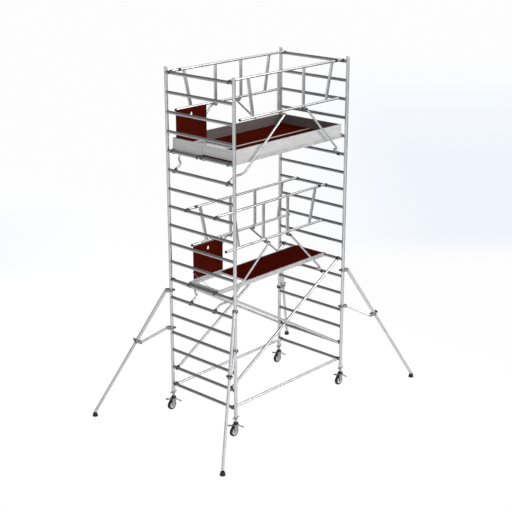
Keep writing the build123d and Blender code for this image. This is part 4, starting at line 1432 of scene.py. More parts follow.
# ------------------------------------------------------------------ claws
@dataclass
class Claw:
    """Cast hook that drops over a rung, with a neck for a tube and a sprung thumb latch."""

    rung_radius: float = 0.0240
    metal: float = 0.0065
    drop: float = 0.015
    neck: float = 0.034
    width: float = 0.036
    socket_radius: float = 0.0185

    def outline(self) -> list[tuple[float, float]]:
        """Outline with its mouth down and its neck towards the first axis.

        Returns:
            Corners, in order.
        """
        inner, outer = self.rung_radius, self.rung_radius + self.metal
        tip = [(-outer, -self.drop * 0.5), (-outer + 0.002, -self.drop), (-inner, -self.drop)]
        heel = [(inner, -self.drop), (self.neck - 0.002, -self.drop + 0.001),
                (self.neck, -self.drop + 0.004), (self.neck, self.drop - 0.002),
                (outer * 0.82, outer * 0.66)]
        return arc(inner, range(180, -1, -12)) + heel + arc(outer, range(60, 181, 12)) + tip

    def shape(self) -> Shape:
        """Hook round a rung that lies along Y through the origin, neck towards +X, mouth down.

        Returns:
            The hook.
        """
        made = Shape()
        made.plate(self.outline(), ORIGIN, X_WAY, Z_WAY, self.width)
        made.turned((self.neck - 0.004, 0, 0), X_WAY, (
            (0.0, self.socket_radius * 0.80), (0.003, self.socket_radius + 0.0012),
            (0.012, self.socket_radius + 0.0012), (0.014, self.socket_radius)), 28)
        return made

    def latch(self) -> Shape:
        """Thumb latch over the neck, with its pivot pin and its tongue under the rung.

        Returns:
            The latch.
        """
        made = Shape()
        r = self.rung_radius
        made.plate(rounded(((-r * 0.2, r + self.metal), (r * 0.9, r + self.metal * 0.6),
                            (self.neck + 0.012, r * 0.62), (self.neck + 0.016, r * 0.62 + 0.009),
                            (r * 1.0, r + self.metal + 0.006), (-r * 0.1, r + self.metal + 0.005)), 0.004),
                   ORIGIN, X_WAY, Z_WAY, self.width * 0.42)
        half = self.width / 2 + 0.0025
        made.rod((r * 0.95, -half, r * 0.72), (r * 0.95, half, r * 0.72), 0.0034, 14)
        return made


# ------------------------------------------------------------------ braces
@dataclass
class Braces(Assembly):
    """Two crossing diagonals and a low horizontal on each long side, clipped to the rungs."""

    grid: Grid
    radius: float = 0.020
    wall: float = 0.0018
    neck: float = 0.034
    inner_y: float = 0.555
    outer_y: float = 0.610
    low_y: float = 0.600

    def runs(self) -> list[tuple[Vector, Vector]]:
        """Rung-to-rung lines of the far side.

        Returns:
            Both ends of each line.
        """
        half, rung = self.grid.half_length, self.grid.rung
        low, high, base = rung(2), rung(7), rung(1)
        return [
            (Vector((-half, self.inner_y, low)), Vector((half, self.inner_y, high))),
            (Vector((half, self.outer_y, low)), Vector((-half, self.outer_y, high))),
            (Vector((-half, self.low_y, base)), Vector((half, self.low_y, base))),
        ]

    def build(self) -> None:
        """Tubes, hooks and latches."""
        hooks, latches = Shape(), Shape()
        claw = Claw(neck=self.neck, socket_radius=self.radius)
        for side, sy in (("near", -1), ("far", 1)):
            tubes = Shape()
            for a, b in self.runs():
                a, b = Vector((a.x, sy * a.y, a.z)), Vector((b.x, sy * b.y, b.z))
                way = (b - a).normalized()
                tubes.tube(a + way * self.neck, b - way * self.neck, self.radius, self.wall, 32)
                for spot, along in ((a, way), (b, -way)):
                    lean = math.atan2(along.z, abs(along.x))
                    turn = hung(spot, 1 if along.x > 0 else -1, lean)
                    hooks.joined(claw.shape().moved(turn))
                    latches.joined(claw.latch().moved(turn))
            self.fit(tubes, f"brace_tubes_{side}", ALUMINIUM_ALONG, 0.0, "tower",
                     "tube_aluminium", f"braces_{side}")
        for shape, name, finish, bevel in ((hooks, "brace_hooks", CAST_GREY, 0.0015),
                                           (latches, "brace_latches", BLACK_PLASTIC, 0.001)):
            self.fit(shape, name, finish, bevel, "tower", "dark_fitting", "brace_claws")


# ------------------------------------------------------------------ decks
@dataclass
class Decks(Assembly):
    """Platform decks: beams, boards, hatches, wind latches and all their fixings."""

    grid: Grid
    names: tuple[str, ...] = ("lower_deck", "upper_near_deck", "upper_far_deck")
    beam_end: float = 0.027
    rivet_pitch: float = 0.145
    rivet_inset: float = 0.05
    rivet_drop: float = 0.019
    screw_inset: float = 0.032
    screw_pitch: float = 0.24
    barrel: float = 0.0065
    leaf_inset: float = 0.092
    stay_radius: float = 0.0036
    stay_inset: float = 0.004

    def fixings(self, name: str) -> tuple[Aimed, Aimed]:
        """Rivets along both beams and countersunk screws round the board.

        Args:
            name: Name of the deck.

        Returns:
            Rivets and screws, each a place with its direction.
        """
        low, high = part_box(f"{name}_frame")
        board_low, board_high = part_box(f"{name}_board")
        half = self.grid.half_length - self.beam_end
        run = 2 * (half - self.rivet_inset)
        count = int(run / self.rivet_pitch)
        rivets = [((-half + self.rivet_inset + k * (run / count), y, board_high.z - self.rivet_drop),
                   (0, way, 0)) for k in range(count + 1) for y, way in ((low.y, -1), (high.y, 1))]
        inset, edge = self.screw_inset, self.screw_inset * 0.4
        length, width = board_high.x - board_low.x, board_high.y - board_low.y
        count = max(2, int(length / self.screw_pitch))
        screws = [(board_low.x + inset + k * (length - 2 * inset) / count, y)
                  for k in range(count + 1) for y in (board_low.y + edge, board_high.y - edge)]
        screws += [(x, board_low.y + k * width / 3)
                   for k in (1, 2) for x in (board_low.x + inset, board_high.x - inset)]
        return rivets, [((x, y, board_high.z), Z_WAY) for x, y in screws]

    def build(self) -> None:
        """Finishes, rivets, screws, hatch fittings and the stay rod."""
        for name in self.names:
            self.dress(f"{name}_frame", ALUMINIUM_BEAM)
            self.dress(f"{name}_board", DECK_PLY)
            rivets, screws = self.fixings(name)
            self.heads(f"{name}_rivets", (0.0036, 0.0016), rivets, "tower", "deck_aluminium")
            self.heads(f"{name}_screws", (0.0042, 0.0006), screws, "tower", "deck_board")
        self.dress("deck_wind_locks", CAST_GREY)
        for hatch in ("lower_hatch", "upper_hatch"):
            low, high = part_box(hatch)
            pin = low.z + self.barrel
            self.dress(hatch, HatchPly(f"filmed ply {hatch.split('_')[0]}", (0.082, 0.0044, 0.0003),
                                       0.72, 0.0, 0.04, pin_height=pin + 0.036 - 0.007))
            spots = [((x + dx, low.y, pin + dz), (0, -1, 0))
                     for x in (low.x + self.leaf_inset, high.x - self.leaf_inset)
                     for dx in (-0.018, 0.018) for dz in (0.024, 0.036)]
            self.heads(f"{hatch}_screws", (0.0036, 0.0012), spots, hatch, "hatch_board")
        self.stay()

    def stay(self) -> None:
        """Round stay rod beside the lower hatch, with an eye on its pin."""
        low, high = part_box("lower_hatch_stay")
        inset = self.stay_inset
        top = Vector((low.x + inset, high.y - inset, high.z - inset))
        foot = Vector((low.x + inset, low.y + inset, low.z + inset))
        shape = Shape()
        shape.swept([top, top.lerp(foot, 0.5), foot], self.stay_radius, 16)
        shape.rod(top + Vector((-0.001, 0, 0)), (high.x, top.y, top.z), 0.0025, 14)
        shape.turned(top - Vector((0.0035, 0, 0)), X_WAY,
                     ((0, 0.0030), (0.001, 0.0039), (0.006, 0.0039), (0.007, 0.0030)), 18)
        self.fit(shape, "stay_rod", ZINC, 0.0, "hatch_stay", "stay_steel", "lower_hatch_stay")


# ------------------------------------------------------------------ toe boards
@dataclass
class ToeBoards(Assembly):
    """Toe boards round the upper platform, with screwed corner cleats."""

    cleat: float = 0.030
    rivet_pitch: float = 0.044
    corner_inset: float = 0.020

    def build(self) -> None:
        """Finish of the boards and the rivets of their corner and middle cleats."""
        low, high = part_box("toe_boards_long")
        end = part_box("toe_boards_end")[1]
        skin = ToeBoardSkin("toe board skin", (0.80, 0.80, 0.795), 0.46, 0.35,
                            half_length=end.x, half_width=high.y)
        self.dress("toe_boards_long", skin)
        self.dress("toe_boards_end", skin)
        heights = [low.z + self.cleat + k * self.rivet_pitch for k in range(3)]
        spots = [spot for sx in SIGNS for sy in SIGNS for z in heights
                 for spot in (((sx * (high.x - self.corner_inset), sy * high.y, z), (0, sy, 0)),
                              ((sx * end.x, sy * (end.y - self.cleat), z), (sx, 0, 0)),
                              ((sx * end.x, sy * self.cleat, z), (sx, 0, 0)))]
        self.heads("toe_board_rivets", (0.0036, 0.0012), spots, "tower", "toe_aluminium")


# ------------------------------------------------------------------ guardrails
@dataclass
class GuardrailUnit(Assembly):
    """One folding guardrail unit: rails, flattened posts, plugs, brackets and two legs.

    It is built as the far unit; the near one is the same unit turned half round.
    """

    grid: Grid
    level: str
    side: str
    rung_number: int
    offset: float
    rail_radius: float = 0.018
    wall: float = 0.0018
    rise: float = 0.022
    gap: float = 0.560
    rail_end: float = 0.034
    pressed: float = 0.72
    mid_left: float = 1.130
    mid_right: float = 1.020
    plug: float = 0.018
    post_width: float = 0.060
    post_depth: float = 0.020
    pressing: Outline = ((0.0, 0.70), (0.05, 0.74), (0.10, 1.0), (0.90, 1.0), (0.95, 0.74), (1.0, 0.70))
    posts: tuple[tuple[float, float], ...] = (
        (-0.950, -0.820), (-0.315, -0.315), (0.220, 0.220), (0.845, 0.750))
    sleeve_at: float = 1.035
    sleeve_length: float = 0.060
    pivots: tuple[float, float] = (-0.310, 0.182)
    pivot_drop: float = 0.042
    leg_out: float = 0.076
    leg_radius: float = 0.016
    knee: tuple[float, float] = (1.015, 0.129)
    ankle: tuple[float, float] = (1.072, 0.084)
    claw_inboard: float = 0.045
    leg_neck: float = 0.040
    rungs_down: int = 5

    @property
    def top(self) -> float:
        """Height of the top rail's middle."""
        return self.grid.rung(self.rung_number) + self.rise

    @property
    def turn(self) -> Matrix:
        """Half turn for the near unit, nothing for the far one."""
        return Matrix.Rotation(math.pi if self.side == "near" else 0.0, 4, "Z")

    def rails(self) -> Shape:
        """Top and mid rails, pressed flat near the claws and where they are joined.

        Returns:
            Both rails.
        """
        made = Shape()
        reach = self.grid.half_length - self.rail_end
        y, top, mid = self.offset, self.top, self.top - self.gap
        flat = Vector(Y_WAY)
        near, far = reach - 0.085, reach - 0.045
        stops = ((-reach, self.pressed), (-far, self.pressed), (-near, 1.0), (-0.6, 1.0), (0.0, 1.0),
                 (0.6, 1.0), (near, 1.0), (far, self.pressed), (reach, self.pressed))
        made.swept([Vector((x, y, top)) for x, _ in stops], self.rail_radius, 32,
                   [f for _, f in stops], flat)
        made.tube((-self.mid_left + self.plug, y, mid), (self.mid_right - self.plug, y, mid),
                  self.rail_radius, self.wall, 32)
        return made

    def post_shapes(self) -> Shape:
        """Posts of flat-oval tube, pressed thinner where they meet the rails.

        Returns:
            All posts.
        """
        made = Shape()
        top, mid, y = self.top, self.top - self.gap, self.offset
        turns = [2 * math.pi * k / 28 for k in range(28)]
        oval = [(math.copysign(abs(math.cos(t)) ** 0.45, math.cos(t)),
                 math.copysign(abs(math.sin(t)) ** 0.6, math.sin(t))) for t in turns]
        half_w = self.post_width / 2
        for top_x, low_x in self.posts:
            a = Vector((top_x, y, top - self.rail_radius * 0.4))
            b = Vector((low_x, y, mid + self.rail_radius * 0.4))
            side = Vector(Y_WAY).cross((b - a).normalized()).normalized()
            rows = []
            for share, press in self.pressing:
                centre, half_d = a.lerp(b, share), self.post_depth / 2 * press
                rows.append(made.ring(centre + side * (half_w * c) + Vector((0, half_d * s, 0))
                                      for c, s in oval))
            made.closed(rows)
        return made

    def welds(self) -> Shape:
        """Small fillets where the posts meet the rails.

        Returns:
            All fillets.
        """
        made = Shape()
        for top_x, low_x in self.posts:
            for x, z, way in ((top_x, self.top - self.rail_radius, -1),
                              (low_x, self.top - self.gap + self.rail_radius, 1)):
                made.plate(rounded(((x - 0.034, z - way * 0.004), (x + 0.034, z - way * 0.004),
                                    (x + 0.031, z + way * 0.003), (x - 0.031, z + way * 0.003)), 0.002),
                           (0, self.offset, 0), X_WAY, Z_WAY, 0.019)
        return made

    def dark_parts(self) -> Shape:
        """Sleeve and both plugs.

        Returns:
            The sleeve and both plugs.
        """
        made = Shape()
        y, top, mid = self.offset, self.top, self.top - self.gap
        start = -self.sleeve_at - self.sleeve_length / 2
        made.turned((start, y, top), X_WAY, (
            (0.0, 0.0182), (0.0, 0.0205), (0.002, 0.0214), (self.sleeve_length - 0.002, 0.0214),
            (self.sleeve_length, 0.0205), (self.sleeve_length, 0.0182)), 32)
        for x, s in ((-self.mid_left, 1), (self.mid_right, -1)):
            made.turned((x, y, mid), (s, 0, 0), (
                (0.0, 0.012), (0.001, 0.0165), (0.003, 0.0189), (self.plug, 0.0189),
                (self.plug + 0.001, 0.0178), (self.plug + 0.012, 0.0160)), 32)
        return made

    def brackets(self) -> Shape:
        """Leg brackets under the mid rail, each with its saddle.

        Returns:
            Both brackets.
        """
        made = Shape()
        mid = self.top - self.gap
        start, end = self.offset - 0.012, self.offset + self.leg_out - self.leg_radius - 0.0003
        for x in self.pivots:
            made.plate(rounded(((-0.028, -0.018), (0.028, -0.018), (0.018, -self.pivot_drop - 0.014),
                                (-0.018, -self.pivot_drop - 0.014)), 0.010),
                       (x, (start + end) / 2, mid), X_WAY, Z_WAY, end - start)
            made.turned((x - 0.030, self.offset, mid), X_WAY, (
                (0.0, 0.0181), (0.0, 0.0192), (0.0015, 0.0203), (0.0585, 0.0203), (0.060, 0.0192),
                (0.060, 0.0181)), 32)
        return made

    def leg(self, left: bool) -> tuple[Shape, Shape, Shape]:
        """One folding leg.

        Args:
            left: Whether it is the leg towards -X of the far unit.

        Returns:
            The bent tube, its hook, and its dark collar with the pivot bolt and the latch.
        """
        s = -1 if left else 1
        rung = self.grid.rung(self.rung_number - self.rungs_down)
        pivot_x = self.pivots[0 if left else 1]
        out_y, in_y = self.offset + self.leg_out, self.offset - self.claw_inboard
        start = Vector((pivot_x, out_y, self.top - self.gap - self.pivot_drop))
        knee = Vector((s * self.knee[0], out_y, rung + self.knee[1]))
        ankle = Vector((s * self.ankle[0], in_y, rung + self.ankle[1]))
        foot = Vector((s * self.grid.half_length, in_y, rung))
        lean = math.atan2(start.z - rung, self.grid.half_length - abs(pivot_x))
        end = foot + Vector((-s * math.cos(lean), 0, math.sin(lean))) * self.leg_neck
        way = (knee - start).normalized()
        tube = Shape()
        tube.swept(eased([start - way * 0.024, start + way * 0.1, knee, ankle, end], 0.055),
                   self.leg_radius, 28)
        claw = Claw(rung_radius=0.0244, neck=self.leg_neck, width=0.040, socket_radius=0.017)
        turn = hung(foot, -s, lean) @ Matrix.Diagonal((1, 1, -1, 1))
        collar = Shape()
        collar.turned(start - way * 0.0245, way, (
            (0.0, 0.004), (0.0005, 0.0150), (0.003, 0.0172), (0.016, 0.0172), (0.018, 0.0161)), 28)
        collar.turned(start + Vector((0, self.leg_radius - 0.002, 0)), Y_WAY, (
            (0.0, 0.0085), (0.004, 0.0085), (0.0055, 0.0072), (0.0058, 0.001)), 6)
        collar.joined(claw.latch().moved(turn))
        return tube, claw.shape().moved(turn), collar

    def rail_claws(self) -> tuple[Shape, Shape]:
        """Hooks and latches at both ends of the top rail, on their rungs.

        Returns:
            All hooks, and all latches.
        """
        claw = Claw(neck=self.rail_end, width=0.040, socket_radius=0.0175)
        hooks, latches = Shape(), Shape()
        hook, end = Shape(), self.rail_end
        hook.plate(claw.outline(), ORIGIN, X_WAY, Z_WAY, claw.width)
        hook.plate(rounded(((0.020, -0.006), (end + 0.001, -0.006), (end + 0.050, 0.010),
                            (end + 0.050, 0.034), (end - 0.004, 0.036), (0.012, 0.026)), 0.006),
                   ORIGIN, X_WAY, Z_WAY, 0.022)
        for sx in SIGNS:
            spot = (sx * self.grid.half_length, self.offset, self.top - self.rise)
            turn = self.turn @ hung(spot, -sx)
            hooks.joined(hook.moved(turn))
            latches.joined(claw.latch().moved(turn))
        return hooks, latches

    def build(self) -> None:
        """All pieces of the unit."""
        key, turn = f"{self.level}_{self.side}", self.turn
        tube = ("tube_aluminium", f"guardrails_{self.level}")
        fitting = ("dark_fitting", "guardrail_fittings")
        posts = self.post_shapes()
        posts.joined(self.welds())
        hooks, latches = self.rail_claws()
        for label, shape, finish, bevel, place in (
                ("rails", self.rails().moved(turn), ALUMINIUM_ALONG, 0.0, tube),
                ("posts", posts.moved(turn), ALUMINIUM_UP, 0.0, tube),
                ("rail_plugs", self.dark_parts().moved(turn), BLACK_PLASTIC, 0.0, fitting),
                ("leg_brackets", self.brackets().moved(turn), CAST_PALE, 0.0012, fitting),
                ("rail_hooks", hooks, CAST_GREY, 0.0015, fitting),
                ("rail_latches", latches, BLACK_PLASTIC, 0.001, fitting)):
            self.fit(shape, f"{label}_{key}", finish, bevel, "tower", *place)
        for left in (True, False):
            body = f"{key}_leg_{'left' if left == (self.side == 'far') else 'right'}"
            for (label, finish, bevel, slot), shape in zip((
                    ("leg_tube", ALUMINIUM_ALONG, 0.0, "tube_aluminium"),
                    ("leg_hook", CAST_GREY, 0.0015, "dark_fitting"),
                    ("leg_collar", BLACK_PLASTIC, 0.0008, "dark_fitting")), self.leg(left)):
                self.fit(shape.moved(turn), f"{label}_{body}", finish, bevel, body, slot,
                         f"guardrail_{body}")


# ------------------------------------------------------------------ castors and jacks
@dataclass
class CastorJack(Assembly):
    """A braked castor on a screw jack at one foot of the tower."""

    grid: Grid
    corner: Corner
    wheel_radius: float = 0.075
    tyre_half: float = 0.0225
    hub_radius: float = 0.0505
    trail: float = 0.040
    housing_top: float = 0.212
    housing_height: float = 0.034
    fork_gap: float = 0.060
    fork_plate: float = 0.005
    spindle_radius: float = 0.0190
    thread_depth: float = 0.0026
    thread_start: float = 0.006
    thread_turns: float = 38.0
    nut_height: float = 0.034
    pedal_pivot: tuple[float, float] = (-0.008, 0.161)
    spokes: int = 8

    @property
    def at(self) -> Vector:
        """Foot of the upright's axis on the ground."""
        return self.grid.upright(self.corner)

    def tyre(self) -> Shape:
        """Tyre with rounded shoulders and a parting ridge.

        Returns:
            The tyre.
        """
        made = Shape()
        r, h = self.wheel_radius - 0.0003, self.tyre_half
        made.turned((-self.trail, 0, self.wheel_radius), Y_WAY, (
            (-h + 0.002, self.hub_radius), (-h, self.hub_radius + 0.003), (-h, r - 0.010),
            (-h + 0.0015, r - 0.005), (-h + 0.005, r - 0.0015), (-h + 0.010, r - 0.0002), (-0.001, r),
            (0.001, r), (h - 0.010, r - 0.0002), (h - 0.005, r - 0.0015), (h - 0.0015, r - 0.005),
            (h, r - 0.010), (h, self.hub_radius + 0.003), (h - 0.002, self.hub_radius)), 56)
        return made

    def hub(self) -> Shape:
        """Hub: rim, dished web, spokes on both faces and a bearing boss.

        Returns:
            The hub.
        """
        made = Shape()
        y, r = self.tyre_half - 0.001, self.hub_radius
        made.turned((-self.trail, 0, self.wheel_radius), Y_WAY, (
            (-y, r - 0.005), (-y, r), (y, r), (y, r - 0.005), (0.0180, r - 0.007), (0.0180, 0.022),
            (0.026, 0.019), (0.026, 0.012), (-0.026, 0.012), (-0.026, 0.019), (-0.0180, 0.022),
            (-0.0180, r - 0.007)), 48)
        centre = Vector((-self.trail, 0, self.wheel_radius))
        for k in range(self.spokes):
            turn = 2 * math.pi * k / self.spokes
            way = Vector((math.cos(turn), 0, math.sin(turn)))
            for sy in SIGNS:
                made.plate(((0.018, 0.016 * sy), (r - 0.006, 0.016 * sy), (r - 0.006, (y - 0.001) * sy),
                            (0.019, 0.022 * sy)), centre, way, (0, 1, 0), 0.004)
        return made

    def fork(self) -> Shape:
        """Pressed fork: crown and two tapering cheeks with rounded tips.

        Returns:
            The fork.
        """
        made = Shape()
        under = self.housing_top - self.housing_height
        side = self.fork_gap / 2 + self.fork_plate
        tip, r, t = 0.017, self.wheel_radius, self.trail
        cheek = [(-0.046, under), (0.034, under), (0.0335, under - 0.012), (0.030, under - 0.034)]
        cheek += arc(tip, range(0, -181, -15), -t, r) + [(-0.058, under - 0.034), (-0.052, under - 0.010)]
        for sy in SIGNS:
            y = sy * (side - self.fork_plate / 2)
            made.plate(cheek, (0, y, 0), X_WAY, Z_WAY, self.fork_plate - 0.0006)
        made.plate(rounded(((-0.046, -side), (0.034, -side), (0.034, side), (-0.046, side)), 0.008),
                   (0, 0, under - 0.002), (1, 0, 0), (0, 1, 0), 0.004)
        return made

    def housing(self) -> Shape:
        """Swivel housing with its ball race and dust lip.

        Returns:
            The housing.
        """
        made = Shape()
        made.turned((0, 0, self.housing_top - self.housing_height), Z_WAY, (
            (0.0, 0.036), (0.001, 0.0378), (0.010, 0.0378), (0.0112, 0.0368), (0.0125, 0.0368),
            (0.0137, 0.0378), (0.022, 0.0378), (0.026, 0.0355), (0.030, 0.029), (0.0338, 0.024),
            (0.0339, 0.010)), 44)
        return made

    def bolts(self) -> Shape:
        """Axle with its nuts and washers, and the pedal's pin.

        Returns:
            Axle, nuts, washers and pin.
        """
        made = Shape()
        side = self.fork_gap / 2 + self.fork_plate
        for sy in SIGNS:
            at = Vector((-self.trail, sy * side, self.wheel_radius))
            made.turned(at, (0, sy, 0), ((0, 0.012), (0.0013, 0.012), (0.0014, 0.002)), 24)
            made.turned(at + Vector((0, sy * 0.0013, 0)), (0, sy, 0), (
                (0, 0.0088), (0.0035, 0.0088), (0.0045, 0.0076)), 6)
            px, pz = self.pedal_pivot
            made.turned((px, sy * side, pz), (0, sy, 0), ((0, 0.0055), (0.0015, 0.0052), (0.003, 0.003)), 18)
        made.rod((-self.trail, -side, self.wheel_radius), (-self.trail, side, self.wheel_radius), 0.0058)
        return made

    def pedal(self) -> Shape:
        """Two-way brake pedal: raised arm to -X, lowered arm to +X.

        Returns:
            The pedal.
        """
        made = Shape()
        px, pz = self.pedal_pivot
        t = 0.0048
        route = [(-0.155, 0.2095), (px - 0.098, pz + 0.0345), (px - 0.060, pz + 0.0125),
                 (px - 0.030, pz), (px + 0.026, pz), (0.075, 0.130), (0.118, 0.094), (0.151, 0.0745)]
        upper, lower = [], []
        for i, (x, z) in enumerate(route):
            ax, az = route[max(i - 1, 0)]
            bx, bz = route[min(i + 1, len(route) - 1)]
            way = Vector((bx - ax, 0, bz - az)).normalized()
            n = Vector((-way.z, 0, way.x))
            upper.append((x + n.x * t, z + n.z * t))
            lower.append((x - n.x * t, z - n.z * t))
        made.plate(upper + lower[::-1], ORIGIN, X_WAY, Z_WAY, 0.033)
        return made

    @staticmethod
    def pads() -> Shape:
        """Rubber treads on the raised and the lowered end of the pedal.

        Returns:
            Both treads.
        """
        made = Shape()
        for x, z, dip in ((-0.134, 0.2005, 16.0), (0.131, 0.0870, 30.6)):
            turn = math.radians(dip)
            made.plate(rounded(((-0.020, -0.0075), (0.020, -0.0075), (0.020, 0.0075),
                                (-0.020, 0.0075)), 0.003),
                       (x, 0, z), (math.cos(turn), 0, -math.sin(turn)),
                       (math.sin(turn), 0, math.cos(turn)), 0.0335)
        return made

    def nut(self) -> Shape:
        """Jack nut with a wing on each side, rounded as a casting.

        Returns:
            The nut.
        """
        made = Shape()
        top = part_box(f"jack_nut_{self.corner.label}")[1].z
        low = top - self.nut_height
        made.turned((0, 0, low), Z_WAY, (
            (0, 0.0200), (0, 0.0272), (0.003, 0.0302), (0.010, 0.0308), (self.nut_height - 0.006, 0.0308),
            (self.nut_height - 0.001, 0.0292), (self.nut_height, 0.0200)), 40)
        for s in SIGNS:
            made.plate(rounded(((0.020 * s, 0.004), (0.064 * s, 0.0075), (0.064 * s, 0.0275),
                                (0.020 * s, 0.030)), 0.009),
                       (0, 0, low), X_WAY, Z_WAY, 0.0095)
        return made

    def build(self) -> None:
        """Every piece of the castor and its jack."""
        name, move = self.corner.label, Matrix.Translation(self.at)
        low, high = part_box(f"jack_spindle_{name}")
        jack = (f"jack_{name}", "spindle_steel", f"jack_spindle_{name}")
        core = self.spindle_radius - self.thread_depth
        spindle = Shape()
        spindle.tube((0, 0, low.z), (0, 0, high.z), core, 0.004, 36)
        self.fit(spindle.moved(move), f"spindle_{name}", ZINC, 0.0, *jack)
        start = tuple(self.at + Vector((0, 0, low.z + self.thread_start)))
        self.settle(thread_tree().grow(f"spindle_thread_{name}", ZINC,
                                       {"Radius": core, "Turns": self.thread_turns}, [start],
                                       angle=60.0), *jack)
        fork = ("fork", "fork_steel", "castor_fork")
        wheel, brake = ("wheel", "tyre", "castor_wheel"), ("brake", "brake_pedal", "castor_brake")
        for label, shape, finish, bevel, (body, slot, node) in (
                ("wing_nut", self.nut(), CAST_PALE, 0.002, ("nut", "nut_iron", "jack_nut")),
                ("fork_cheeks", self.fork(), FORK_PAINT, 0.0012, fork),
                ("swivel_housing", self.housing(), BLACK_PLASTIC, 0.0, fork),
                ("castor_bolts", self.bolts(), ZINC, 0.0006, fork),
                ("tyre", self.tyre(), TYRE_RUBBER, 0.0, wheel),
                ("wheel_hub", self.hub(), HUB_PLASTIC, 0.0, wheel),
                ("pedal", self.pedal(), PEDAL, 0.002, brake),
                ("pedal_pads", self.pads(), BLACK_PLASTIC, 0.001, brake)):
            self.fit(shape.moved(move), f"{label}_{name}", finish, bevel, f"{body}_{name}", slot,
                     f"{node}_{name}")


# ------------------------------------------------------------------ stabilisers
@dataclass
class Stabiliser(Assembly):
    """Telescopic stabiliser on one upright, held by two swinging couplers."""

    grid: Grid
    corner: Corner
    reach_x: float = 0.985
    reach_y: float = 0.685
    upper: float = 1.930
    lower: float = 1.330
    standoff: float = 0.075
    slider: float = 0.42
    outer_radius: float = 0.025
    inner_radius: float = 0.0219
    arm_radius: float = 0.020
    wall: float = 0.002
    elbow: float = 0.028
    foot_height: float = 0.062
    foot_radius: float = 0.043
    foot_top_radius: float = 0.030
    stub: float = 0.008
    hidden: float = 0.26
    shoe_gap: float = 0.006

    def lines(self) -> dict[str, Vector]:
        """Key points and the leg's direction, in the leg's own plane.

        Returns:
            The points and directions, by name.
        """
        head = Vector((self.standoff, 0, self.upper))
        foot = Vector((math.hypot(self.reach_x, self.reach_y), 0, self.foot_height))
        way = (foot - head).normalized()
        joint = head + way * ((foot - head).length * self.slider)
        coupler = joint - way * self.elbow
        inward = Vector((way.z, 0, -way.x))
        return {"head": head, "foot": foot, "way": way, "joint": joint, "coupler": coupler,
                "inward": inward, "arm_head": Vector((self.standoff, 0, self.lower)),
                "elbow": coupler + inward * self.standoff}

    @property
    def turn(self) -> Matrix:
        """Turn and shift from the leg's own plane to the corner.

        Returns:
            The matrix.
        """
        sx, sy = self.corner.value
        angle = math.atan2(sy * self.reach_y, sx * self.reach_x)
        return Matrix.Translation(self.grid.upright(self.corner)) @ Matrix.Rotation(angle, 4, "Z")

    def stations(self) -> list[tuple[Matrix, float, float]]:
        """Where each coupler sits, the radius of the tube in its ears, and its handle's half.

        Returns:
            A place, a radius and a length for each coupler.
        """
        at = self.lines()
        axis, out = at["way"], at["inward"]
        across = axis.cross(out)
        frame = Matrix((out, across, axis)).transposed().to_4x4()
        return [(Matrix.Translation((0, 0, self.upper)), self.outer_radius, 0.028),
                (Matrix.Translation((0, 0, self.lower)), self.arm_radius, 0.028),
                (Matrix.Translation(at["coupler"]) @ frame, self.arm_radius, 0.044)]

    def tubes(self) -> Shape:
        """Outer tube and arm.

        Returns:
            Both tubes.
        """
        at = self.lines()
        made = Shape()
        way = at["way"]
        made.tube(at["head"] - way * self.stub, at["joint"], self.outer_radius, self.wall, 36)
        reach = (at["elbow"] - at["arm_head"]).normalized()
        made.tube(at["arm_head"] - reach * self.stub, at["elbow"] + reach * self.stub,
                  self.arm_radius, self.wall, 32)
        return made

    @staticmethod
    def coupler(tube_radius: float) -> Shape:
        """Half-coupler round a tube along Z, with two ears towards +X.

        Args:
            tube_radius: Radius of the tube held between the ears.

        Returns:
            The coupler, with its middle at the origin.
        """
        made = Shape()
        bore, out, h = 0.0259, 0.0345, 0.0245
        made.turned((0, 0, -h), Z_WAY, (
            (0, bore), (0, out - 0.002), (0.002, out), (0.015, out), (0.017, out - 0.0025),
            (0.032, out - 0.0025), (0.034, out), (2 * h - 0.002, out), (2 * h, out - 0.002),
            (2 * h, bore)), 44)
        for sy in SIGNS:
            y = sy * (tube_radius + 0.0033)
            made.plate(rounded(((0.026, -0.024), (0.064, -0.024), (0.090, -0.012), (0.090, 0.012),
                                (0.064, 0.024), (0.026, 0.024)), 0.010),
                       (0, y, 0), X_WAY, Z_WAY, 0.0056)
            made.plate(rounded(((-0.012, 0.033), (0.012, 0.033), (0.012, 0.043), (-0.012, 0.043)), 0.004),
                       ORIGIN, X_WAY, (0, sy, 0), 0.034)
        return made

    def bolt(self, tube_radius: float) -> Shape:
        """Pivot bolt through the ears of a coupler, with its heads, and the closing bolts.

        Args:
            tube_radius: Radius of the tube held between the ears.

        Returns:
            The bolts of one coupler.
        """
        made = Shape()
        half = tube_radius + 0.0062
        for sy in SIGNS:
            made.turned((self.standoff, sy * half, 0), (0, sy, 0), (
                (0, 0.0085), (0.0012, 0.0085), (0.0012, 0.0070), (0.0055, 0.0070), (0.0065, 0.0058)), 12)
            made.turned((-0.012, sy * 0.038, 0), (-1, 0, 0), (
                (0, 0.0065), (0.004, 0.0065), (0.0048, 0.0055)), 6)
        made.rod((self.standoff, -half, 0), (self.standoff, half, 0), 0.0048, 16)
        return made

    @staticmethod
    def handle(half: float) -> Shape:
        """T-handle of a coupler's clamping screw.

        Args:
            half: Half the length of its grip.

        Returns:
            The stem and the grip, with thicker ends.
        """
        made = Shape()
        made.turned((-0.033, 0, 0), (-1, 0, 0), (
            (0.0, 0.010), (0.006, 0.010), (0.007, 0.006), (0.014, 0.006)), 20)
        made.turned((-0.047, -half, 0), Y_WAY, (
            (0, 0.006), (0.002, 0.0105), (0.014, 0.0120), (0.022, 0.0100), (half, 0.0090),
            (2 * half - 0.022, 0.0100), (2 * half - 0.014, 0.0120), (2 * half - 0.002, 0.0105),
            (2 * half, 0.006)), 20)
        return made

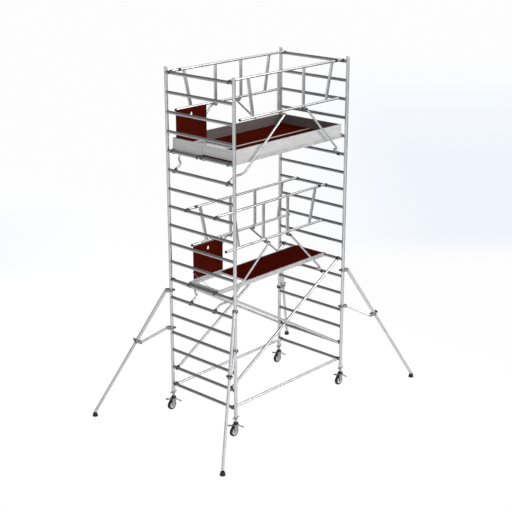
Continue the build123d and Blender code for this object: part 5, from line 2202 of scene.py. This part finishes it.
    def sleeve(self) -> Shape:
        """Dark guide sleeve at the mouth of the outer tube.

        Returns:
            The sleeve.
        """
        at = self.lines()
        made = Shape()
        made.turned(at["joint"] - at["way"] * 0.0005, at["way"], (
            (0, 0.0248), (0.004, 0.0250), (0.010, 0.0246), (0.013, 0.0236), (0.0135, 0.0221)), 36)
        return made

    def shoe(self) -> Shape:
        """Rubber foot with a flared, grooved sole.

        Returns:
            The shoe.
        """
        foot = self.lines()["foot"]
        top = self.foot_height - self.shoe_gap
        r, t = self.foot_radius - 0.0003, self.foot_top_radius - 0.0006
        slope = (r - t) / top
        made = Shape()
        made.turned((foot.x, 0, 0), Z_WAY, (
            (0.0, r - 0.006), (0.0, r - 0.0022), (0.0020, r - 0.0006), (0.009, r - 0.009 * slope),
            (0.0105, r - 0.0105 * slope - 0.0018), (0.0135, r - 0.0135 * slope - 0.0018),
            (0.015, r - 0.015 * slope), (0.030, r - 0.030 * slope), (0.045, r - 0.045 * slope),
            (top - 0.003, t), (top - 0.0008, t - 0.0016), (top, t - 0.004), (top, 0.018)), 48)
        return made

    def build(self) -> None:
        """Every piece of the stabiliser."""
        name = self.corner.label
        body, foot = f"stabiliser_{name}", f"stabiliser_foot_{name}"
        couplers, bolts, handles, inner = Shape(), Shape(), self.sleeve(), Shape()
        for place, radius, half in self.stations():
            couplers.joined(self.coupler(radius).moved(place))
            bolts.joined(self.bolt(radius).moved(place))
            handles.joined(self.handle(half).moved(place))
        at = self.lines()
        inner.tube(at["joint"] - at["way"] * self.hidden, at["foot"] - at["way"] * self.shoe_gap,
                   self.inner_radius, self.wall, 36)
        for label, shape, finish, bevel, ride, slot in (
                ("outer_tubes", self.tubes(), ALUMINIUM_UP, 0.0, body, "tube_aluminium"),
                ("couplers", couplers, CAST_PALE, 0.001, body, "tube_aluminium"),
                ("coupler_bolts", bolts, ZINC, 0.0, body, "tube_aluminium"),
                ("coupler_handles", handles, BLACK_PLASTIC, 0.0, body, "tube_aluminium"),
                ("inner_tube", inner, ALUMINIUM_UP, 0.0, foot, "tube_aluminium"),
                ("shoe", self.shoe(), TYRE_RUBBER, 0.0, foot, "foot_rubber")):
            self.fit(shape.moved(self.turn), f"{label}_{name}", finish, bevel, ride, slot, ride)


# ------------------------------------------------------------------ studio
@dataclass
class Studio:
    """Camera, lamps, floor and background."""

    camera_at: tuple[float, float, float] = (-12.390, -11.332, 7.956)
    heading: float = 47.4
    dip: float = 18.59
    lens: float = 82.68
    floor_half: float = 90.0
    floor_height: float = -0.0005
    floor_pale: Colour = (0.88, 0.88, 0.88)
    floor_dark: Colour = (0.20, 0.20, 0.20)
    tint: Colour = (0.885, 0.925, 1.0)
    glow: float = 1.02
    middle: Point = (0.0, 0.0, 2.6)
    lamps: tuple[tuple[str, Point, float, float], ...] = (
        ("key", (6.5, -11.5, 10.0), 6.0, 900.0), ("fill", (-12.0, -3.0, 7.0), 8.0, 60.0))

    def camera(self) -> None:
        """Camera that looks at the tower from its left near corner, from above."""
        data = bpy.data.cameras.new("camera")
        data.sensor_width, data.lens, data.clip_end = 36.0, self.lens, 400.0
        made = placed("camera", data)
        yaw, dip = math.radians(self.heading), math.radians(self.dip)
        way = Vector((math.sin(yaw) * math.cos(dip), math.cos(yaw) * math.cos(dip), -math.sin(dip)))
        made.location = self.camera_at
        made.rotation_euler = way.to_track_quat("-Z", "Y").to_euler()
        bpy.context.scene.camera = made

    def lamp(self, name: str, at: Point, size: float, power: float) -> None:
        """One soft area lamp that faces the tower's middle.

        Args:
            name: Name of the lamp.
            at: Where it hangs.
            size: Side of the square lamp.
            power: Its power in watts.
        """
        data = bpy.data.lights.new(name, "AREA")
        data.size, data.energy = size, power
        made = placed(name, data)
        made.location = at
        way = Vector(self.middle) - Vector(at)
        made.rotation_euler = way.to_track_quat("-Z", "Y").to_euler()

    def world(self) -> None:
        """Soft pale surround, white to the eye, with a dark screen far behind for the gloss."""
        world = bpy.data.worlds.new("surround")
        world.use_nodes = True
        bpy.context.scene.world = world
        graph = Graph(world.node_tree)
        way = graph.node("ShaderNodeTexCoord", out="Generated")
        x, y, z = graph.split(way)
        shade = (x * 0.15 + y * 0.92).rise(0.44, 0.64) * (1.0 - z.rise(0.84, 0.96))
        shade = shade * x.rise(-0.85, -0.35)
        pale = graph.blend((-x).rise(0.25, 0.95), (0.80, 0.80, 0.81), (0.42, 0.42, 0.43))
        soft = graph.blend(shade, pale, (0.08, 0.08, 0.082))
        path = graph.node("ShaderNodeLightPath", out="Is Camera Ray")
        lit = graph.blend(path, soft, (1.0, 1.0, 1.0))
        light = graph.node("ShaderNodeBackground", {}, {"Color": lit, "Strength": 1.0})
        graph.node("ShaderNodeOutputWorld", {}, {"Surface": light})

    def floor(self) -> None:
        """Wide pale floor that keeps a faint shadow and cools to blue far off."""
        half, z = self.floor_half, self.floor_height
        mesh = bpy.data.meshes.new("floor")
        mesh.from_pydata([(-half, -half, z), (half, -half, z), (half, half, z), (-half, half, z)],
                         [], [(0, 1, 2, 3)])
        material = bpy.data.materials.new("pale floor")
        material.use_nodes = True
        graph = Graph(material.node_tree)
        x, y, _ = graph.split(graph.place())
        yaw = math.radians(self.heading)
        depth = x * math.sin(yaw) + y * math.cos(yaw)
        aside = x * math.cos(yaw) - y * math.sin(yaw)
        far = depth.rise(6.5, 8.5) * (1.0 - depth.rise(14.0, 34.0))
        right = aside.rise(0.4, 4.5) * far
        left = (-aside).rise(3.2, 6.5) * depth.rise(5.0, 6.5) * (1.0 - depth.rise(8.0, 12.0))
        tone = graph.blend((right + left * 0.6).held(), WHITE, self.tint)
        shown = graph.node("ShaderNodeEmission", {}, {"Color": tone, "Strength": self.glow})
        dim = (x * 0.95 - y * 0.05).rise(1.0, 5.5)
        matt = graph.node("ShaderNodeBsdfDiffuse", {},
                          {"Color": graph.blend(dim, self.floor_pale, self.floor_dark)})
        path = graph.node("ShaderNodeLightPath", out="Is Camera Ray")
        mixed = graph.node("ShaderNodeMixShader", {}, {0: path * 0.96, 1: matt, 2: shown})
        graph.node("ShaderNodeOutputMaterial", {}, {"Surface": mixed})
        mesh.materials.append(material)
        placed("floor", mesh)

    def build(self) -> None:
        """Set up the whole studio."""
        bpy.context.scene.view_settings.view_transform = "Standard"
        self.camera()
        self.world()
        self.floor()
        for name, at, size, power in self.lamps:
            self.lamp(name, at, size, power)
        LOG.info("studio: camera %.1f mm, %d lamps", self.lens, len(self.lamps))


def main() -> None:
    """Build the tower's pieces in order, then the studio."""
    logging.basicConfig(level=logging.INFO, format="%(name)s: %(message)s")
    for item in list(bpy.data.objects):
        bpy.data.objects.remove(item)
    FRAME.update(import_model())
    grid = Grid()
    assemblies: list[Assembly] = [LadderFrames(grid), Braces(grid), Decks(grid), ToeBoards()]
    for level, number, offset in (("lower", 11, 0.288), ("upper", 18, 0.570)):
        for side in ("far", "near"):
            assemblies.append(GuardrailUnit(grid, level, side, number, offset))
    for corner in Corner:
        assemblies.append(CastorJack(grid, corner))
        assemblies.append(Stabiliser(grid, corner))
    for assembly in assemblies:
        assembly.build()
        LOG.info("%s done", type(assembly).__name__)
    Studio().build()
    bpy.context.view_layer.update()


if __name__ == "__main__":
    main()
